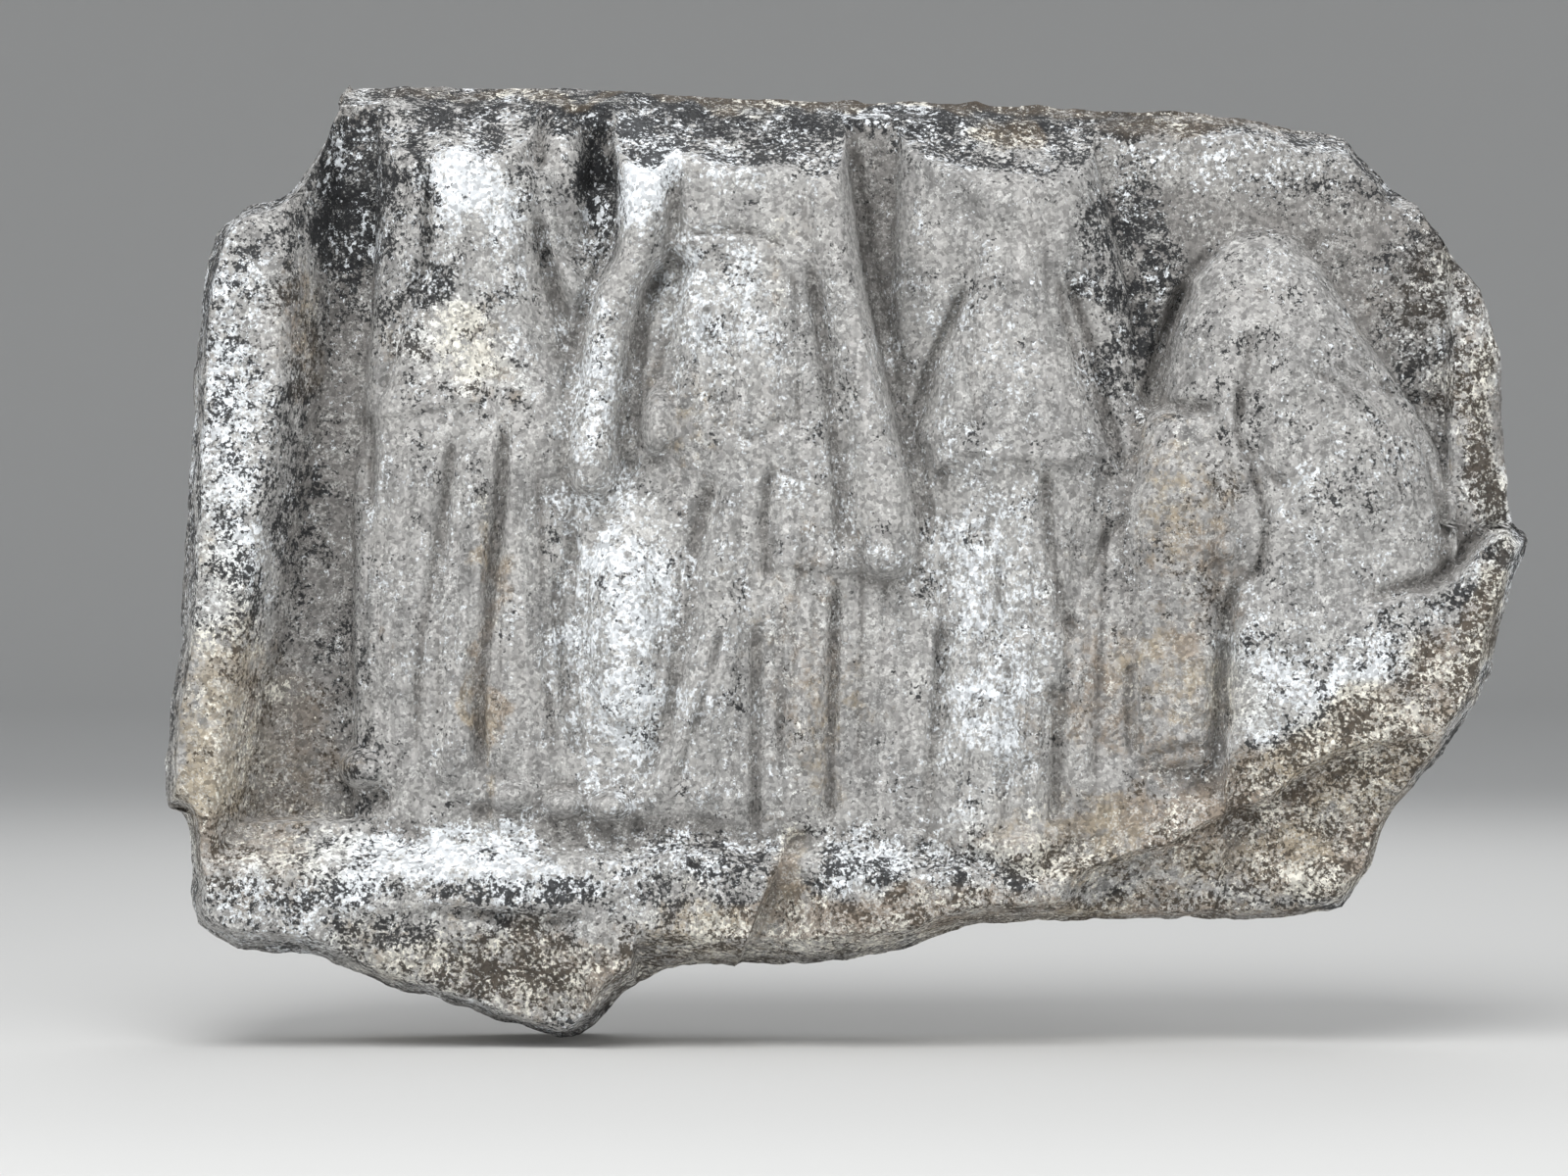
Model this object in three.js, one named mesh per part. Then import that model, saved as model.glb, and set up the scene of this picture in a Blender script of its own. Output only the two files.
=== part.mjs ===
// A broken stone relief panel: four draped figures between two raised borders, over a ledge.
// Millimetres, +Z up, +X to the right. The flat back lies in the plane y = 0 and the carving faces -Y.
// The origin is on the back, at the middle of the block, where the panel is fixed.

import * as THREE from 'three';

// ---- driving sizes ----

const GROUND = 112; // thickness of the block at the bare ground between the figures
const CLOTH = 172; // thickness at the front of the hanging drapery
const CHEST = 180; // thickness at the front of the upper bodies
const ARM = 190; // thickness at the front of the arms and knees
const BORDER = 192; // thickness at the crest of the left border
const BAND = 26; // how far the right border stands above the ground
const LEDGE = 206; // thickness at the front of the ledge that the figures stand on
const MASS = 196; // thickness of the broken mass at the lower right
const HANGING = 184; // thickness of the lump that hangs below the ledge
const BREAK = 28; // how far the stone right of the slanting break lies behind the stone left of it
const BREAK_TOP = 9; // the same at the top of the break
const RIM = 96; // thickness of the block at its broken outline

const FRAME = [-505, 505, -324, 370]; // the even grid before it bends: left, right, foot and head
const MARGIN = 0.16; // share of the width and height over which the grid bends to the outline
const COLUMNS = 106; // grid cells across the front
const ROWS = 38; // grid cells up the front
const WALL_RINGS = 2; // cells from the outline back to the flat back
const FINE = 3; // samples of the carving along each side of a cell, averaged at the cell's corners
const CHISEL = 1.3; // folds in this solid are cut this much wider than life, to suit its cells
const END = 18; // how far the top and foot of a body or limb round over

const STONE = { color: 0x8f8d88, roughness: 0.9, metalness: 0 };

// ---- the outline: four sides of the block, each as it broke, listed clockwise from the top left ----

const TOP_SIDE = [[-408, 379], [-300, 380], [-180, 377], [-60, 370], [60, 369], [200, 363], [320, 356],
  [406, 338]];
const RIGHT_SIDE = [[406, 338], [442, 300], [484, 248], [520, 196], [531, 120], [536, 30], [550, 16],
  [552, 0], [530, -60], [516, -116], [480, -172], [436, -224], [424, -262], [400, -292]];
const BOTTOM_SIDE = [[400, -292], [350, -302], [230, -302], [110, -308], [50, -326], [-36, -340],
  [-134, -342], [-176, -360], [-204, -388], [-236, -398], [-310, -376], [-380, -354], [-428, -334],
  [-496, -328]];
const LEFT_SIDE = [[-496, -328], [-528, -304], [-534, -260], [-538, -218], [-553, -208], [-553, -140],
  [-542, -64], [-535, 60], [-530, 176], [-518, 238], [-494, 276], [-456, 290], [-424, 330], [-408, 379]];

// ---- the draped bodies: height, left edge, right edge and thickness at the front, from the top down ----

const FIRST = [[372, -378, -248, CHEST - 12], [300, -380, -246, CLOTH], [216, -382, -242, CLOTH - 2],
  [190, -384, -238, CLOTH - 2], [150, -388, -226, CLOTH], [120, -390, -206, CLOTH + 2],
  [96, -390, -202, CLOTH + 2], [32, -390, -204, CLOTH - 4], [-40, -396, -206, CLOTH - 6],
  [-120, -396, -206, CLOTH - 4], [-196, -390, -202, CLOTH - 6], [-240, -388, -200, CLOTH - 20]];
const SECOND = [[372, -166, -2, CHEST - 4], [300, -166, 0, CHEST - 4], [244, -160, 8, CHEST - 2],
  [226, -138, 10, CHEST - 2], [184, -146, 18, CHEST], [144, -154, 24, CHEST + 2],
  [104, -166, 30, CHEST + 2], [64, -180, 38, CHEST - 2], [20, -214, 44, CLOTH + 2], [-20, -226, 44, CLOTH],
  [-120, -226, 36, CLOTH], [-200, -224, 28, CLOTH], [-242, -222, 24, CLOTH - 14]];
const SECOND_LEFT_ARM = [[372, -188, -136, ARM - 12], [318, -190, -134, ARM - 10],
  [280, -188, -136, ARM - 4], [256, -188, -138, ARM - 6], [232, -192, -141, ARM - 10],
  [206, -206, -160, ARM - 13], [168, -214, -170, ARM - 12], [128, -220, -176, ARM - 10],
  [100, -226, -179, ARM - 6], [70, -230, -179, ARM - 2], [48, -227, -180, ARM - 10],
  [32, -216, -188, ARM - 26]];
const SECOND_RIGHT_ARM = [[372, -52, -8, ARM - 16], [320, -50, 0, ARM - 9], [280, -44, 5, ARM - 2],
  [232, -38, 11, ARM], [200, -30, 17, ARM], [160, -20, 26, ARM], [128, -14, 34, ARM], [88, -10, 43, ARM],
  [56, -8, 52, ARM], [20, -6, 60, ARM - 2], [-8, 0, 61, ARM - 8], [-34, 10, 48, ARM - 22]];
const THIRD_SLEEVES = [[372, 44, 192, CHEST - 4], [314, 38, 200, CHEST - 10], [240, 34, 218, CHEST - 12],
  [205, 34, 226, CHEST - 20], [160, 38, 232, CHEST - 30], [112, 50, 240, CHEST - 34],
  [86, 60, 232, CHEST - 42]];
const THIRD = [[300, 72, 176, CHEST - 4], [250, 80, 176, CHEST - 2], [205, 88, 174, CHEST],
  [152, 68, 190, CHEST + 2], [112, 58, 204, CHEST + 2], [88, 50, 212, CHEST + 1], [66, 56, 218, CHEST - 1],
  [58, 62, 216, CLOTH + 3], [0, 64, 212, CLOTH], [-60, 64, 208, CLOTH], [-130, 60, 200, CLOTH + 1],
  [-190, 52, 196, CLOTH + 3], [-256, 50, 192, CLOTH + 6]];
const SEATED_BACK = [[258, 316, 352, CHEST - 54], [246, 298, 368, CHEST - 38], [216, 274, 388, CHEST - 18],
  [170, 257, 416, CHEST + 1], [120, 250, 452, CHEST + 3], [80, 268, 474, CHEST + 4],
  [40, 272, 484, CHEST + 3], [0, 280, 488, CHEST + 1], [-24, 284, 490, CHEST], [-90, 284, 490, CHEST]];
const SEATED_LAP = [[120, 244, 296, ARM - 34], [96, 230, 310, ARM - 14], [40, 216, 326, ARM - 4],
  [0, 210, 330, ARM - 5], [-30, 214, 320, ARM - 12], [-60, 216, 306, ARM - 18], [-100, 218, 300, ARM - 17],
  [-150, 220, 298, ARM - 14], [-184, 218, 300, ARM - 24]];

// Pleats that run down a body. The shares are places across the body, 0 at its left edge and 1 at its right.
// [share at the top, share at the foot, height of the top, height of the foot, width, rise, sideways bow]
const FIRST_PLEATS = [[0.63, 0.52, 110, -188, 5.5, -16, 0], [0.41, 0.228, 100, -190, 5.5, -9, 0],
  [0.49, 0.41, 100, -205, 13, 9, 0], [0.68, 0.65, 92, -190, 10, 8, 0], [0.17, 0.145, 70, -130, 13, 5, 0],
  [0.77, 0.83, 60, -180, 7, -5, 4]];
const SECOND_PLEATS = [[0.187, 0.307, 198, 102, 5, -7, 0], [0.616, 0.626, 226, 84, 5, -8, 4],
  [0.72, 0.816, 228, -14, 6, -13, 0], [0.11, 0.17, 200, 104, 8, 5, 0], [0.541, 0.596, 66, -28, 5, -11, 0],
  [0.564, 0.602, -56, -234, 6, -14, 0], [0.8, 0.833, -22, -228, 7, -15, 0],
  [0.695, 0.74, -36, -180, 9, 7, 0], [0.64, 0.672, -46, -190, 4, -6, 0], [0.42, 0.26, 70, -216, 10, 11, 26],
  [0.52, 0.413, -28, -222, 9, 10, 0], [0.47, 0.323, -60, -196, 5, -9, 4], [0.5, 0.42, -56, -200, 4, -7, 2],
  [0.345, 0.237, 62, -190, 9, -12, 18]];
const THIRD_PLEATS = [[0.165, 0.33, 186, 88, 5, -8, 0], [0.39, 0.48, 200, 100, 6, -4, 0],
  [0.7, 0.71, 192, 96, 5, -4, 0], [0.615, 0.8, 66, -76, 7, -15, -7], [0.725, 0.79, -104, -226, 10, -14, 0],
  [0.325, 0.41, 54, -84, 6, -9, 0], [0.52, 0.6, -60, -172, 9, 9, 0], [0.45, 0.48, -80, -256, 6, -9, 4],
  [0.07, 0.1, -62, -158, 7, -8, 0], [0.19, 0.24, -36, -200, 12, 6, 0], [0.85, 0.93, -78, -210, 10, 7, 0]];

// ---- small mathematics ----

const clamp = (value, low, high) => Math.min(high, Math.max(low, value));

function smoothstep(low, high, value) {
  const t = clamp((value - low) / (high - low), 0, 1);
  return t * t * (3 - 2 * t);
}

function smoothMax(a, b, reach) {
  const share = clamp(0.5 + (0.5 * (a - b)) / reach, 0, 1);
  return b + (a - b) * share + reach * share * (1 - share);
}

const smoothMin = (a, b, reach) => -smoothMax(-a, -b, reach);

const bell = (distance, reach) => Math.exp(-((distance / reach) ** 2));

// value of a row of [place, value] pairs at a place between them
function between(pairs, place, column = 1) {
  const rising = pairs[0][0] < pairs[pairs.length - 1][0];
  const ordered = rising ? pairs : [...pairs].reverse();
  if (place <= ordered[0][0]) return ordered[0][column];
  for (let i = 1; i < ordered.length; i += 1) {
    const [from, to] = [ordered[i - 1], ordered[i]];
    if (place <= to[0]) {
      return from[column] + ((to[column] - from[column]) * (place - from[0])) / (to[0] - from[0]);
    }
  }
  return ordered[ordered.length - 1][column];
}

// a repeatable random value from 0 to 1 for each whole pair of numbers
function chance(i, j, seed) {
  let h = (Math.imul(i, 374761393) + Math.imul(j, 668265263) + Math.imul(seed, 974711)) >>> 0;
  h = Math.imul(h ^ (h >>> 13), 1274126177) >>> 0;
  return ((h ^ (h >>> 16)) >>> 0) / 4294967296;
}

// smooth lumps from -1 to 1, about `size` wide
function lumps(x, z, size, seed) {
  const [u, v] = [x / size, z / size];
  const [i, j] = [Math.floor(u), Math.floor(v)];
  const [s, t] = [smoothstep(0, 1, u - i), smoothstep(0, 1, v - j)];
  const low = chance(i, j, seed) * (1 - s) + chance(i + 1, j, seed) * s;
  const high = chance(i, j + 1, seed) * (1 - s) + chance(i + 1, j + 1, seed) * s;
  return 2 * (low * (1 - t) + high * t) - 1;
}

// lumps with smaller lumps on them, like broken stone
function rough(x, z, size, seed) {
  return lumps(x, z, size, seed) + 0.5 * lumps(x + 37, z - 53, size / 2, seed + 1);
}

// a smooth line through the points, as short straight steps
function smoothLine(points, steps = 6) {
  if (points.length < 3) return points;
  const curve = new THREE.SplineCurve(points.map(([x, z]) => new THREE.Vector2(x, z)));
  return curve.getPoints((points.length - 1) * steps).map((p) => [p.x, p.y]);
}

// ---- the carver's tools ----

// The front of the block as a thickness at every point of the grid.
class Relief {
  constructor(places) {
    this.places = places;
    this.depth = places.map(() => GROUND);
  }

  // changes the thickness everywhere with a rule of the place and what is there
  work(rule) {
    this.places.forEach(([x, z], i) => {
      this.depth[i] = rule(x, z, this.depth[i]);
    });
  }

  // a draped body or limb with a rounded section between its two edges
  body(rows, roundness, blend) {
    const [top, foot] = [rows[0][0], rows[rows.length - 1][0]];
    this.work((x, z, depth) => {
      if (z > top || z < foot) return depth;
      const left = between(rows, z, 1);
      const right = between(rows, z, 2);
      const across = Math.abs(x - (left + right) / 2) / ((right - left) / 2);
      if (across >= 1) return depth;
      const ends = Math.sqrt(1 - (1 - clamp(Math.min(top - z, z - foot) / END, 0, 1)) ** 2);
      const rise = (between(rows, z, 3) - GROUND) * ends * Math.sqrt(1 - across ** roundness);
      return smoothMax(depth, GROUND + rise, blend);
    });
  }

  // a rounded lump
  lump(x0, z0, halfWidth, halfHeight, front, blend = 8) {
    this.work((x, z, depth) => {
      const across = Math.abs((x - x0) / halfWidth) ** 2.2 + Math.abs((z - z0) / halfHeight) ** 2.2;
      if (across >= 1) return depth;
      return smoothMax(depth, GROUND + (front - GROUND) * Math.sqrt(1 - across), blend);
    });
  }

  // a soft hollow
  dent(x0, z0, halfWidth, halfHeight, fall) {
    this.work((x, z, depth) => depth - fall * bell(x - x0, halfWidth) * bell(z - z0, halfHeight));
  }

  // runs a tool along a line; cut gives the change from the distance, the side and the share of the way
  along(points, reach, cut) {
    const line = smoothLine(points);
    const lengths = line.slice(1).map((to, i) => Math.hypot(to[0] - line[i][0], to[1] - line[i][1]));
    const total = lengths.reduce((sum, length) => sum + length, 0);
    this.work((x, z, depth) => {
      let best = reach;
      let [share, side, run] = [-1, 0, 0];
      for (let i = 0; i < lengths.length; i += 1) {
        const [from, to, length] = [line[i], line[i + 1], lengths[i]];
        const [ux, uz] = [(to[0] - from[0]) / length, (to[1] - from[1]) / length];
        const [dx, dz] = [x - from[0], z - from[1]];
        const t = clamp(dx * ux + dz * uz, 0, length);
        const distance = Math.hypot(dx - t * ux, dz - t * uz);
        if (distance < best) {
          best = distance;
          share = (run + t) / total;
          side = Math.sign(dx * uz - dz * ux);
        }
        run += length;
      }
      if (share < 0) return depth;
      const taper = smoothstep(0, 0.12, share) * smoothstep(0, 0.12, 1 - share);
      return depth + taper * cut(best, side, share);
    });
  }

  // a raised fold, or with a negative rise a chiselled groove
  fold(points, width, rise) {
    const wide = width * CHISEL;
    if (rise > 0) this.along(points, 2.2 * wide, (distance) => rise * bell(distance, wide));
    else this.along(points, 1.5 * wide, (distance) => rise * (1 - distance / (1.5 * wide)) ** 1.6);
  }

  // an edge of cloth that stands up on the right of the line and sinks back behind it
  hem(points, rise, fade) {
    this.along(points, 3 * fade, (distance, side) => {
      if (side < 0) return 0;
      return rise * smoothstep(0, 4, distance) * Math.exp(-distance / fade);
    });
  }

  pleats(rows, list) {
    list.forEach(([shareTop, shareFoot, top, foot, width, rise, bow]) => {
      const points = [0, 0.25, 0.5, 0.75, 1].map((t) => {
        const z = top + (foot - top) * t;
        const left = between(rows, z, 1);
        const share = shareTop + (shareFoot - shareTop) * t;
        return [left + share * (between(rows, z, 2) - left) + bow * 4 * t * (1 - t), z];
      });
      this.fold(points, width, rise);
    });
  }
}

// ---- the figures ----

function firstFigure(relief) {
  relief.body(FIRST, 3.2, 12);
  relief.lump(-230, 290, 22, 64, 144, 16); // a stump of drapery behind, between the first two figures
  relief.fold([[-336, 320], [-335, 262], [-338, 222], [-352, 196], [-368, 136], [-384, 110]], 6, -11);
  relief.pleats(FIRST, FIRST_PLEATS);
  relief.fold([[-252, 270], [-240, 224], [-230, 184], [-224, 146]], 8, -16); // gap beside the body
  relief.fold([[-386, 112], [-382, 80], [-385, 28]], 7, -14);
  relief.hem([[-284, 114], [-330, 110], [-380, 100]], 7, 18); // lower edge of the mantle
  relief.fold([[-228, 30], [-222, -4], [-232, -34], [-232, -64], [-224, -120], [-214, -176]], 8, -12);
  relief.fold([[-296, 20], [-302, -60], [-314, -130], [-322, -206]], 9, 7);
  relief.lump(-386, -176, 24, 20, 166); // worn feet
  relief.dent(-374, -199, 9, 8, 12);
  relief.lump(-268, -196, 30, 20, CLOTH + 8);
  relief.lump(-226, -204, 24, 16, CLOTH + 12);
}

function secondFigure(relief) {
  relief.body(SECOND, 3.6, 12);
  relief.body(SECOND_LEFT_ARM, 2.6, 7);
  relief.body(SECOND_RIGHT_ARM, 2.8, 7);
  relief.fold([[-250, 310], [-244, 262], [-228, 222], [-208, 192]], 11, 18);
  relief.fold([[-192, 252], [-200, 222], [-212, 192], [-221, 150], [-229, 112]], 5, -10);
  relief.pleats(SECOND, SECOND_PLEATS);
  relief.fold([[-202, 344], [-202, 300], [-204, 262], [-208, 236]], 9, -11); // gap behind the arm
  relief.fold([[-146, 240], [-156, 212], [-164, 180], [-170, 140], [-174, 84], [-177, 44]], 7, -11);
  relief.dent(-156, 214, 8, 12, 9); // hollow inside the elbow
  relief.fold([[-136, 336], [-137, 290], [-138, 240]], 5, -9);
  relief.lump(-150, 98, 20, 38, ARM - 4);
  relief.hem([[-132, 90], [-152, 74], [-170, 66]], 6, 12);
  relief.fold([[-132, 247], [-104, 251], [-74, 249], [-48, 236]], 3.6, -9); // neckline
  relief.fold([[-108, 102], [-78, 86], [-48, 106]], 6, -6); // hanging fold on the belly
  relief.dent(-134, 36, 30, 40, 14); // hollow below the hand
  relief.lump(-178, -70, 40, 112, ARM + 2); // bent leg under the skirt
  relief.hem([[54, -30], [0, -20], [-70, -16]], 6, 16);
  relief.lump(-190, -204, 26, 18, CLOTH + 20);
  relief.fold([[-2, 340], [8, 288], [16, 240], [26, 184], [36, 134], [48, 90], [58, 56], [66, -10]], 7, -14);
}

function thirdFigure(relief) {
  relief.body(THIRD_SLEEVES, 3.4, 8);
  relief.body(THIRD, 3, 8);
  relief.pleats(THIRD, THIRD_PLEATS);
  for (let k = 0; k < 3; k += 1) { // slanting folds at the neck
    relief.fold([[92 + 22 * k, 290 - 6 * k], [106 + 20 * k, 274 - 4 * k], [118 + 18 * k, 254 - 2 * k]], 6, 5);
  }
  relief.fold([[94, 210], [78, 174], [64, 142], [54, 104], [48, 82]], 5, -12); // the torso's two sides
  relief.fold([[172, 218], [184, 188], [195, 154], [205, 112], [213, 84], [221, 52]], 5, -12);
  // edge of the overfold
  relief.hem([[220, 50], [196, 73], [173, 66], [143, 69], [114, 67], [99, 74], [76, 64], [60, 46]], 8, 12);
  relief.lump(134, -242, 36, 26, ARM + 6);
}

function seatedFigure(relief) {
  relief.body(SEATED_BACK, 3, 8);
  relief.body(SEATED_LAP, 3, 8);
  relief.fold([[276, 214], [259, 180], [250, 152], [245, 132], [239, 108]], 8, -24); // gap before the chest
  relief.fold([[240, 116], [262, 112], [290, 112]], 5, -9); // underside of the arm
  relief.fold([[318, 176], [314, 128], [308, 96]], 6, -8);
  relief.fold([[307, 92], [319, 64], [328, 32], [330, 6], [324, -18], [308, -26]], 4.5, -12);
  relief.hem([[300, -168], [302, -60], [306, -26]], 9, 12);
  relief.fold([[342, 136], [346, 90], [344, 50]], 10, 7);
  for (let k = 0; k < 3; k += 1) { // folds of the cloak that curve round the back
    const step = 16 * k;
    relief.fold([[392 - step, 158 - 6 * k], [424 - step, 132 - 4 * k], [449 - step, 98], [465 - step, 60],
      [477 - step, 4 + 10 * k]], 5, k - 10);
  }
  relief.fold([[404, 132], [436, 124], [478, 116]], 5, -8);
  relief.fold([[292, 60], [290, 24], [292, -20], [296, -60]], 9, -9);
  relief.fold([[224, 26], [206, 10], [196, -12], [184, -30]], 5, -7);
  relief.fold([[224, -90], [223, -130], [225, -168]], 4.5, -8); // left edge of the stool
  relief.hem([[226, -84], [262, -82], [300, -88]], 7, 14);
  relief.dent(366, 238, 12, 10, 12);
}

// ---- the block around them ----

// cloth and stone left standing between the figures, low down
function packing(relief) {
  relief.body([[170, -380, 300, GROUND + 6], [130, -386, 320, GROUND + 16], [90, -392, 330, GROUND + 30],
    [40, -400, 340, GROUND + 42], [-80, -400, 330, GROUND + 46], [-250, -400, 330, GROUND + 48]], 10, 10);
  relief.body([[290, -262, -120, GROUND + 18], [200, -262, -120, GROUND + 30], [60, -250, -130, GROUND + 44]],
    10, 10);
}

function borders(relief) {
  const foot = [[330, -400], [288, -406], [128, -414], [-32, -438], [-152, -458], [-230, -468]];
  const crest = [[300, BORDER - 22], [230, BORDER - 4], [0, BORDER + 2], [-200, BORDER - 2],
    [-300, BORDER - 12]];
  relief.work((x, z, depth) => {
    const left = smoothstep(0, 1, (between(foot, z) - x) / 42);
    const right = BAND * smoothstep(478, 483, x) - 16 * smoothstep(500, 530, x);
    return depth + (between(crest, z) - GROUND) * left + right;
  });
}

function base(relief) {
  relief.work((x, z, depth) => {
    const sound = 1 - smoothstep(-230, -170, x); // the ledge is whole only at the left
    const top = -222 - 8 * smoothstep(-40, 20, x) + 5 * lumps(x, z, 60, 11);
    const whole = GROUND + 34 + (LEDGE - GROUND - 34) * smoothstep(-8, 52, top - z);
    const broken = GROUND + 44 + 40 * smoothstep(0, 34, top - z) + 9 * rough(x, z, 44, 21);
    const stone = z < top + 6 ? smoothMax(depth, sound * whole + (1 - sound) * broken, 5) : depth;
    // below the ledge the front falls back, and a broken lump hangs from it
    const under = smoothstep(-280, -292, z) * sound * smoothstep(-440, -400, x);
    const hanging = HANGING + 0.25 * (z + 300) + 9 * rough(x, z, 60, 31);
    return stone * (1 - under) + hanging * under;
  });
  relief.fold([[-352, -284], [-290, -288], [-248, -300], [-212, -288], [-168, -276]], 8, -14);
}

function brokenMass(relief) {
  const edge = [[170, -260], [226, -200], [296, -176], [304, -60], [314, -32], [420, -40], [460, -30],
    [480, -16], [508, 8], [544, 26]];
  const fall = [[188, -248], [252, -240], [300, -208], [340, -192], [388, -160], [444, -144], [560, -120]];
  relief.work((x, z, depth) => {
    const ridge = between(edge, x) + 5 * lumps(x, z, 34, 41);
    const lower = between(fall, x) + 7 * lumps(x, z, 40, 43);
    const below = smoothstep(0, 12, lower - z);
    const front = MASS - 18 + 0.16 * clamp(x - 240, 0, 300) - 0.1 * clamp(ridge - z, 0, 200)
      - (16 + 0.3 * clamp(lower - z, 0, 60)) * below
      + 22 * bell(x - 370, 60) * bell(z + 262, 26) + 7 * rough(x, z, 70, 45);
    // the mass rises gently out of the cloak, and sharply farther right
    const reach = 6 + 44 * (1 - smoothstep(370, 430, x));
    const over = smoothstep(0, reach, ridge - z) * smoothstep(150, 190, x);
    const hollow = 9 * bell(ridge + 5 - z, 5) * smoothstep(400, 440, x);
    return depth * (1 - over) + front * over - hollow;
  });
  relief.fold([[307, -22], [303, -60], [302, -110], [299, -170]], 5, -12); // groove between stool and mass
}

// distance to the outline, which is zero on it
function distanceTo(line, x, z) {
  let best = Infinity;
  for (let i = 1; i < line.length; i += 1) {
    const [from, to] = [line[i - 1], line[i]];
    const [ux, uz] = [to[0] - from[0], to[1] - from[1]];
    const t = clamp(((x - from[0]) * ux + (z - from[1]) * uz) / (ux * ux + uz * uz), 0, 1);
    best = Math.min(best, Math.hypot(x - from[0] - t * ux, z - from[1] - t * uz));
  }
  return best;
}

// The break that runs slanting down across the base, deeper towards the lower edge.
function slantingBreak(x, z) {
  const past = x + 48 - 0.38 * (z + 232);
  const recess = smoothstep(-222, -240, z) * smoothstep(-1, 3, past) * (1 - smoothstep(16, 60, past));
  return (BREAK_TOP + (BREAK - BREAK_TOP) * smoothstep(-236, -290, z)) * recess;
}

// The broken edge all round falls back towards the outline.
function breaks(relief, outline) {
  const rimTop = [[-420, 380], [-200, 378], [60, 369], [320, 356], [406, 338], [440, 300]];
  const rimFoot = [[-560, -302], [-440, -310], [-400, -420], [-180, -420], [-172, -345], [-168, -302],
    [-60, -308], [50, -298], [120, -290], [200, -274], [430, -266]];
  relief.work((x, z, depth) => {
    const down = between(rimTop, x) - z;
    const lid = 62 + 2.1 * clamp(down, 0, 20) + 1.35 * clamp(down - 20, 0, 200) + 6 * rough(x, z, 40, 3);
    const corner = 126 - 0.8 * (0.72 * (x - 400) + 0.69 * (z - 250) - 62) + 5 * rough(x, z, 50, 5);
    const under = 200 - 1.9 * (between(rimFoot, x) - z) + 4 * rough(x, z, 50, 7);
    const edge = RIM + (BORDER - RIM) * smoothstep(-8, 26, distanceTo(outline, x, z));
    const limits = [[lid, 7], [corner, 9], [under, 4], [edge, 8]];
    const weathered = depth + 2 * rough(x, z, 60, 76);
    const stone = limits.reduce((kept, [limit, reach]) => smoothMin(kept, limit, reach), weathered);
    return stone - slantingBreak(x, z);
  });
}

// ---- from the carving to a closed solid ----

// A grid that fills the outline: an even upright grid in the middle, which bends towards each side within a
// margin of it. The shares run along the bottom and up the left.
function gridPlaces(sides, shareAcross, shareUp) {
  const [west, east, foot, head] = FRAME;
  const pull = (share) => Math.max(0, 1 - share / MARGIN);
  const even = (u, v) => [west + (east - west) * u, foot + (head - foot) * v];
  const minus = (a, b) => [a[0] - b[0], a[1] - b[1]];
  const corners = [[0, 0, sides.left[0]], [1, 0, sides.bottom[0]], [0, 1, sides.top[0]],
    [1, 1, sides.right[0]]];
  return shareUp.flatMap((v) => shareAcross.map((u) => {
    const bends = [
      [pull(u), minus(onSide(sides.left, v, 1), even(0, v))],
      [pull(1 - u), minus(onSide(sides.right, 1 - v, 1), even(1, v))],
      [pull(v), minus(onSide(sides.bottom, 1 - u, 0), even(u, 0))],
      [pull(1 - v), minus(onSide(sides.top, u, 0), even(u, 1))],
      ...corners.map(([cu, cv, corner]) => (
        [-pull(cu ? 1 - u : u) * pull(cv ? 1 - v : v), minus(corner, even(cu, cv))]
      )),
    ];
    const bent = (at, [weight, bend]) => [at[0] + weight * bend[0], at[1] + weight * bend[1]];
    return bends.reduce(bent, even(u, v));
  }));
}

// the place at a share of the way along a side, measured along x (axis 0) or z (axis 1)
function onSide(side, share, axis) {
  const [start, end] = [side[0][axis], side[side.length - 1][axis]];
  const here = start + (end - start) * clamp(share, 0, 1);
  const pairs = side.map((place) => [place[axis], place[1 - axis]]);
  const other = between(pairs, here);
  return axis === 0 ? [here, other] : [other, here];
}

// evenly spread shares from 0 to 1, closer together where the density is higher
function spread(count, density) {
  const samples = 400;
  const sums = [0];
  for (let k = 0; k < samples; k += 1) sums.push(sums[k] + density((k + 0.5) / samples));
  const shares = [0];
  for (let j = 1; j <= count; j += 1) {
    const wanted = (sums[samples] * j) / count;
    const k = Math.min(samples - 1, sums.findIndex((sum, n) => sums[n + 1] >= wanted));
    shares.push((k + (wanted - sums[k]) / (sums[k + 1] - sums[k])) / samples);
  }
  shares[count] = 1;
  return shares;
}

// the thickness at each corner of the coarse cells, averaged from the finer samples round it
function averaged(fine) {
  const width = COLUMNS * FINE + 1;
  const height = ROWS * FINE + 1;
  const result = [];
  for (let j = 0; j < height; j += FINE) {
    for (let i = 0; i < width; i += FINE) {
      let [sum, weights] = [0, 0];
      const onEdge = i === 0 || j === 0 || i === width - 1 || j === height - 1;
      const span = onEdge ? 0 : FINE - 1;
      for (let b = j - span; b <= j + span; b += 1) {
        for (let a = i - span; a <= i + span; a += 1) {
          const weight = (FINE - Math.abs(a - i)) * (FINE - Math.abs(b - j));
          sum += fine[b * width + a] * weight;
          weights += weight;
        }
      }
      result.push(sum / weights);
    }
  }
  return result;
}

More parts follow.
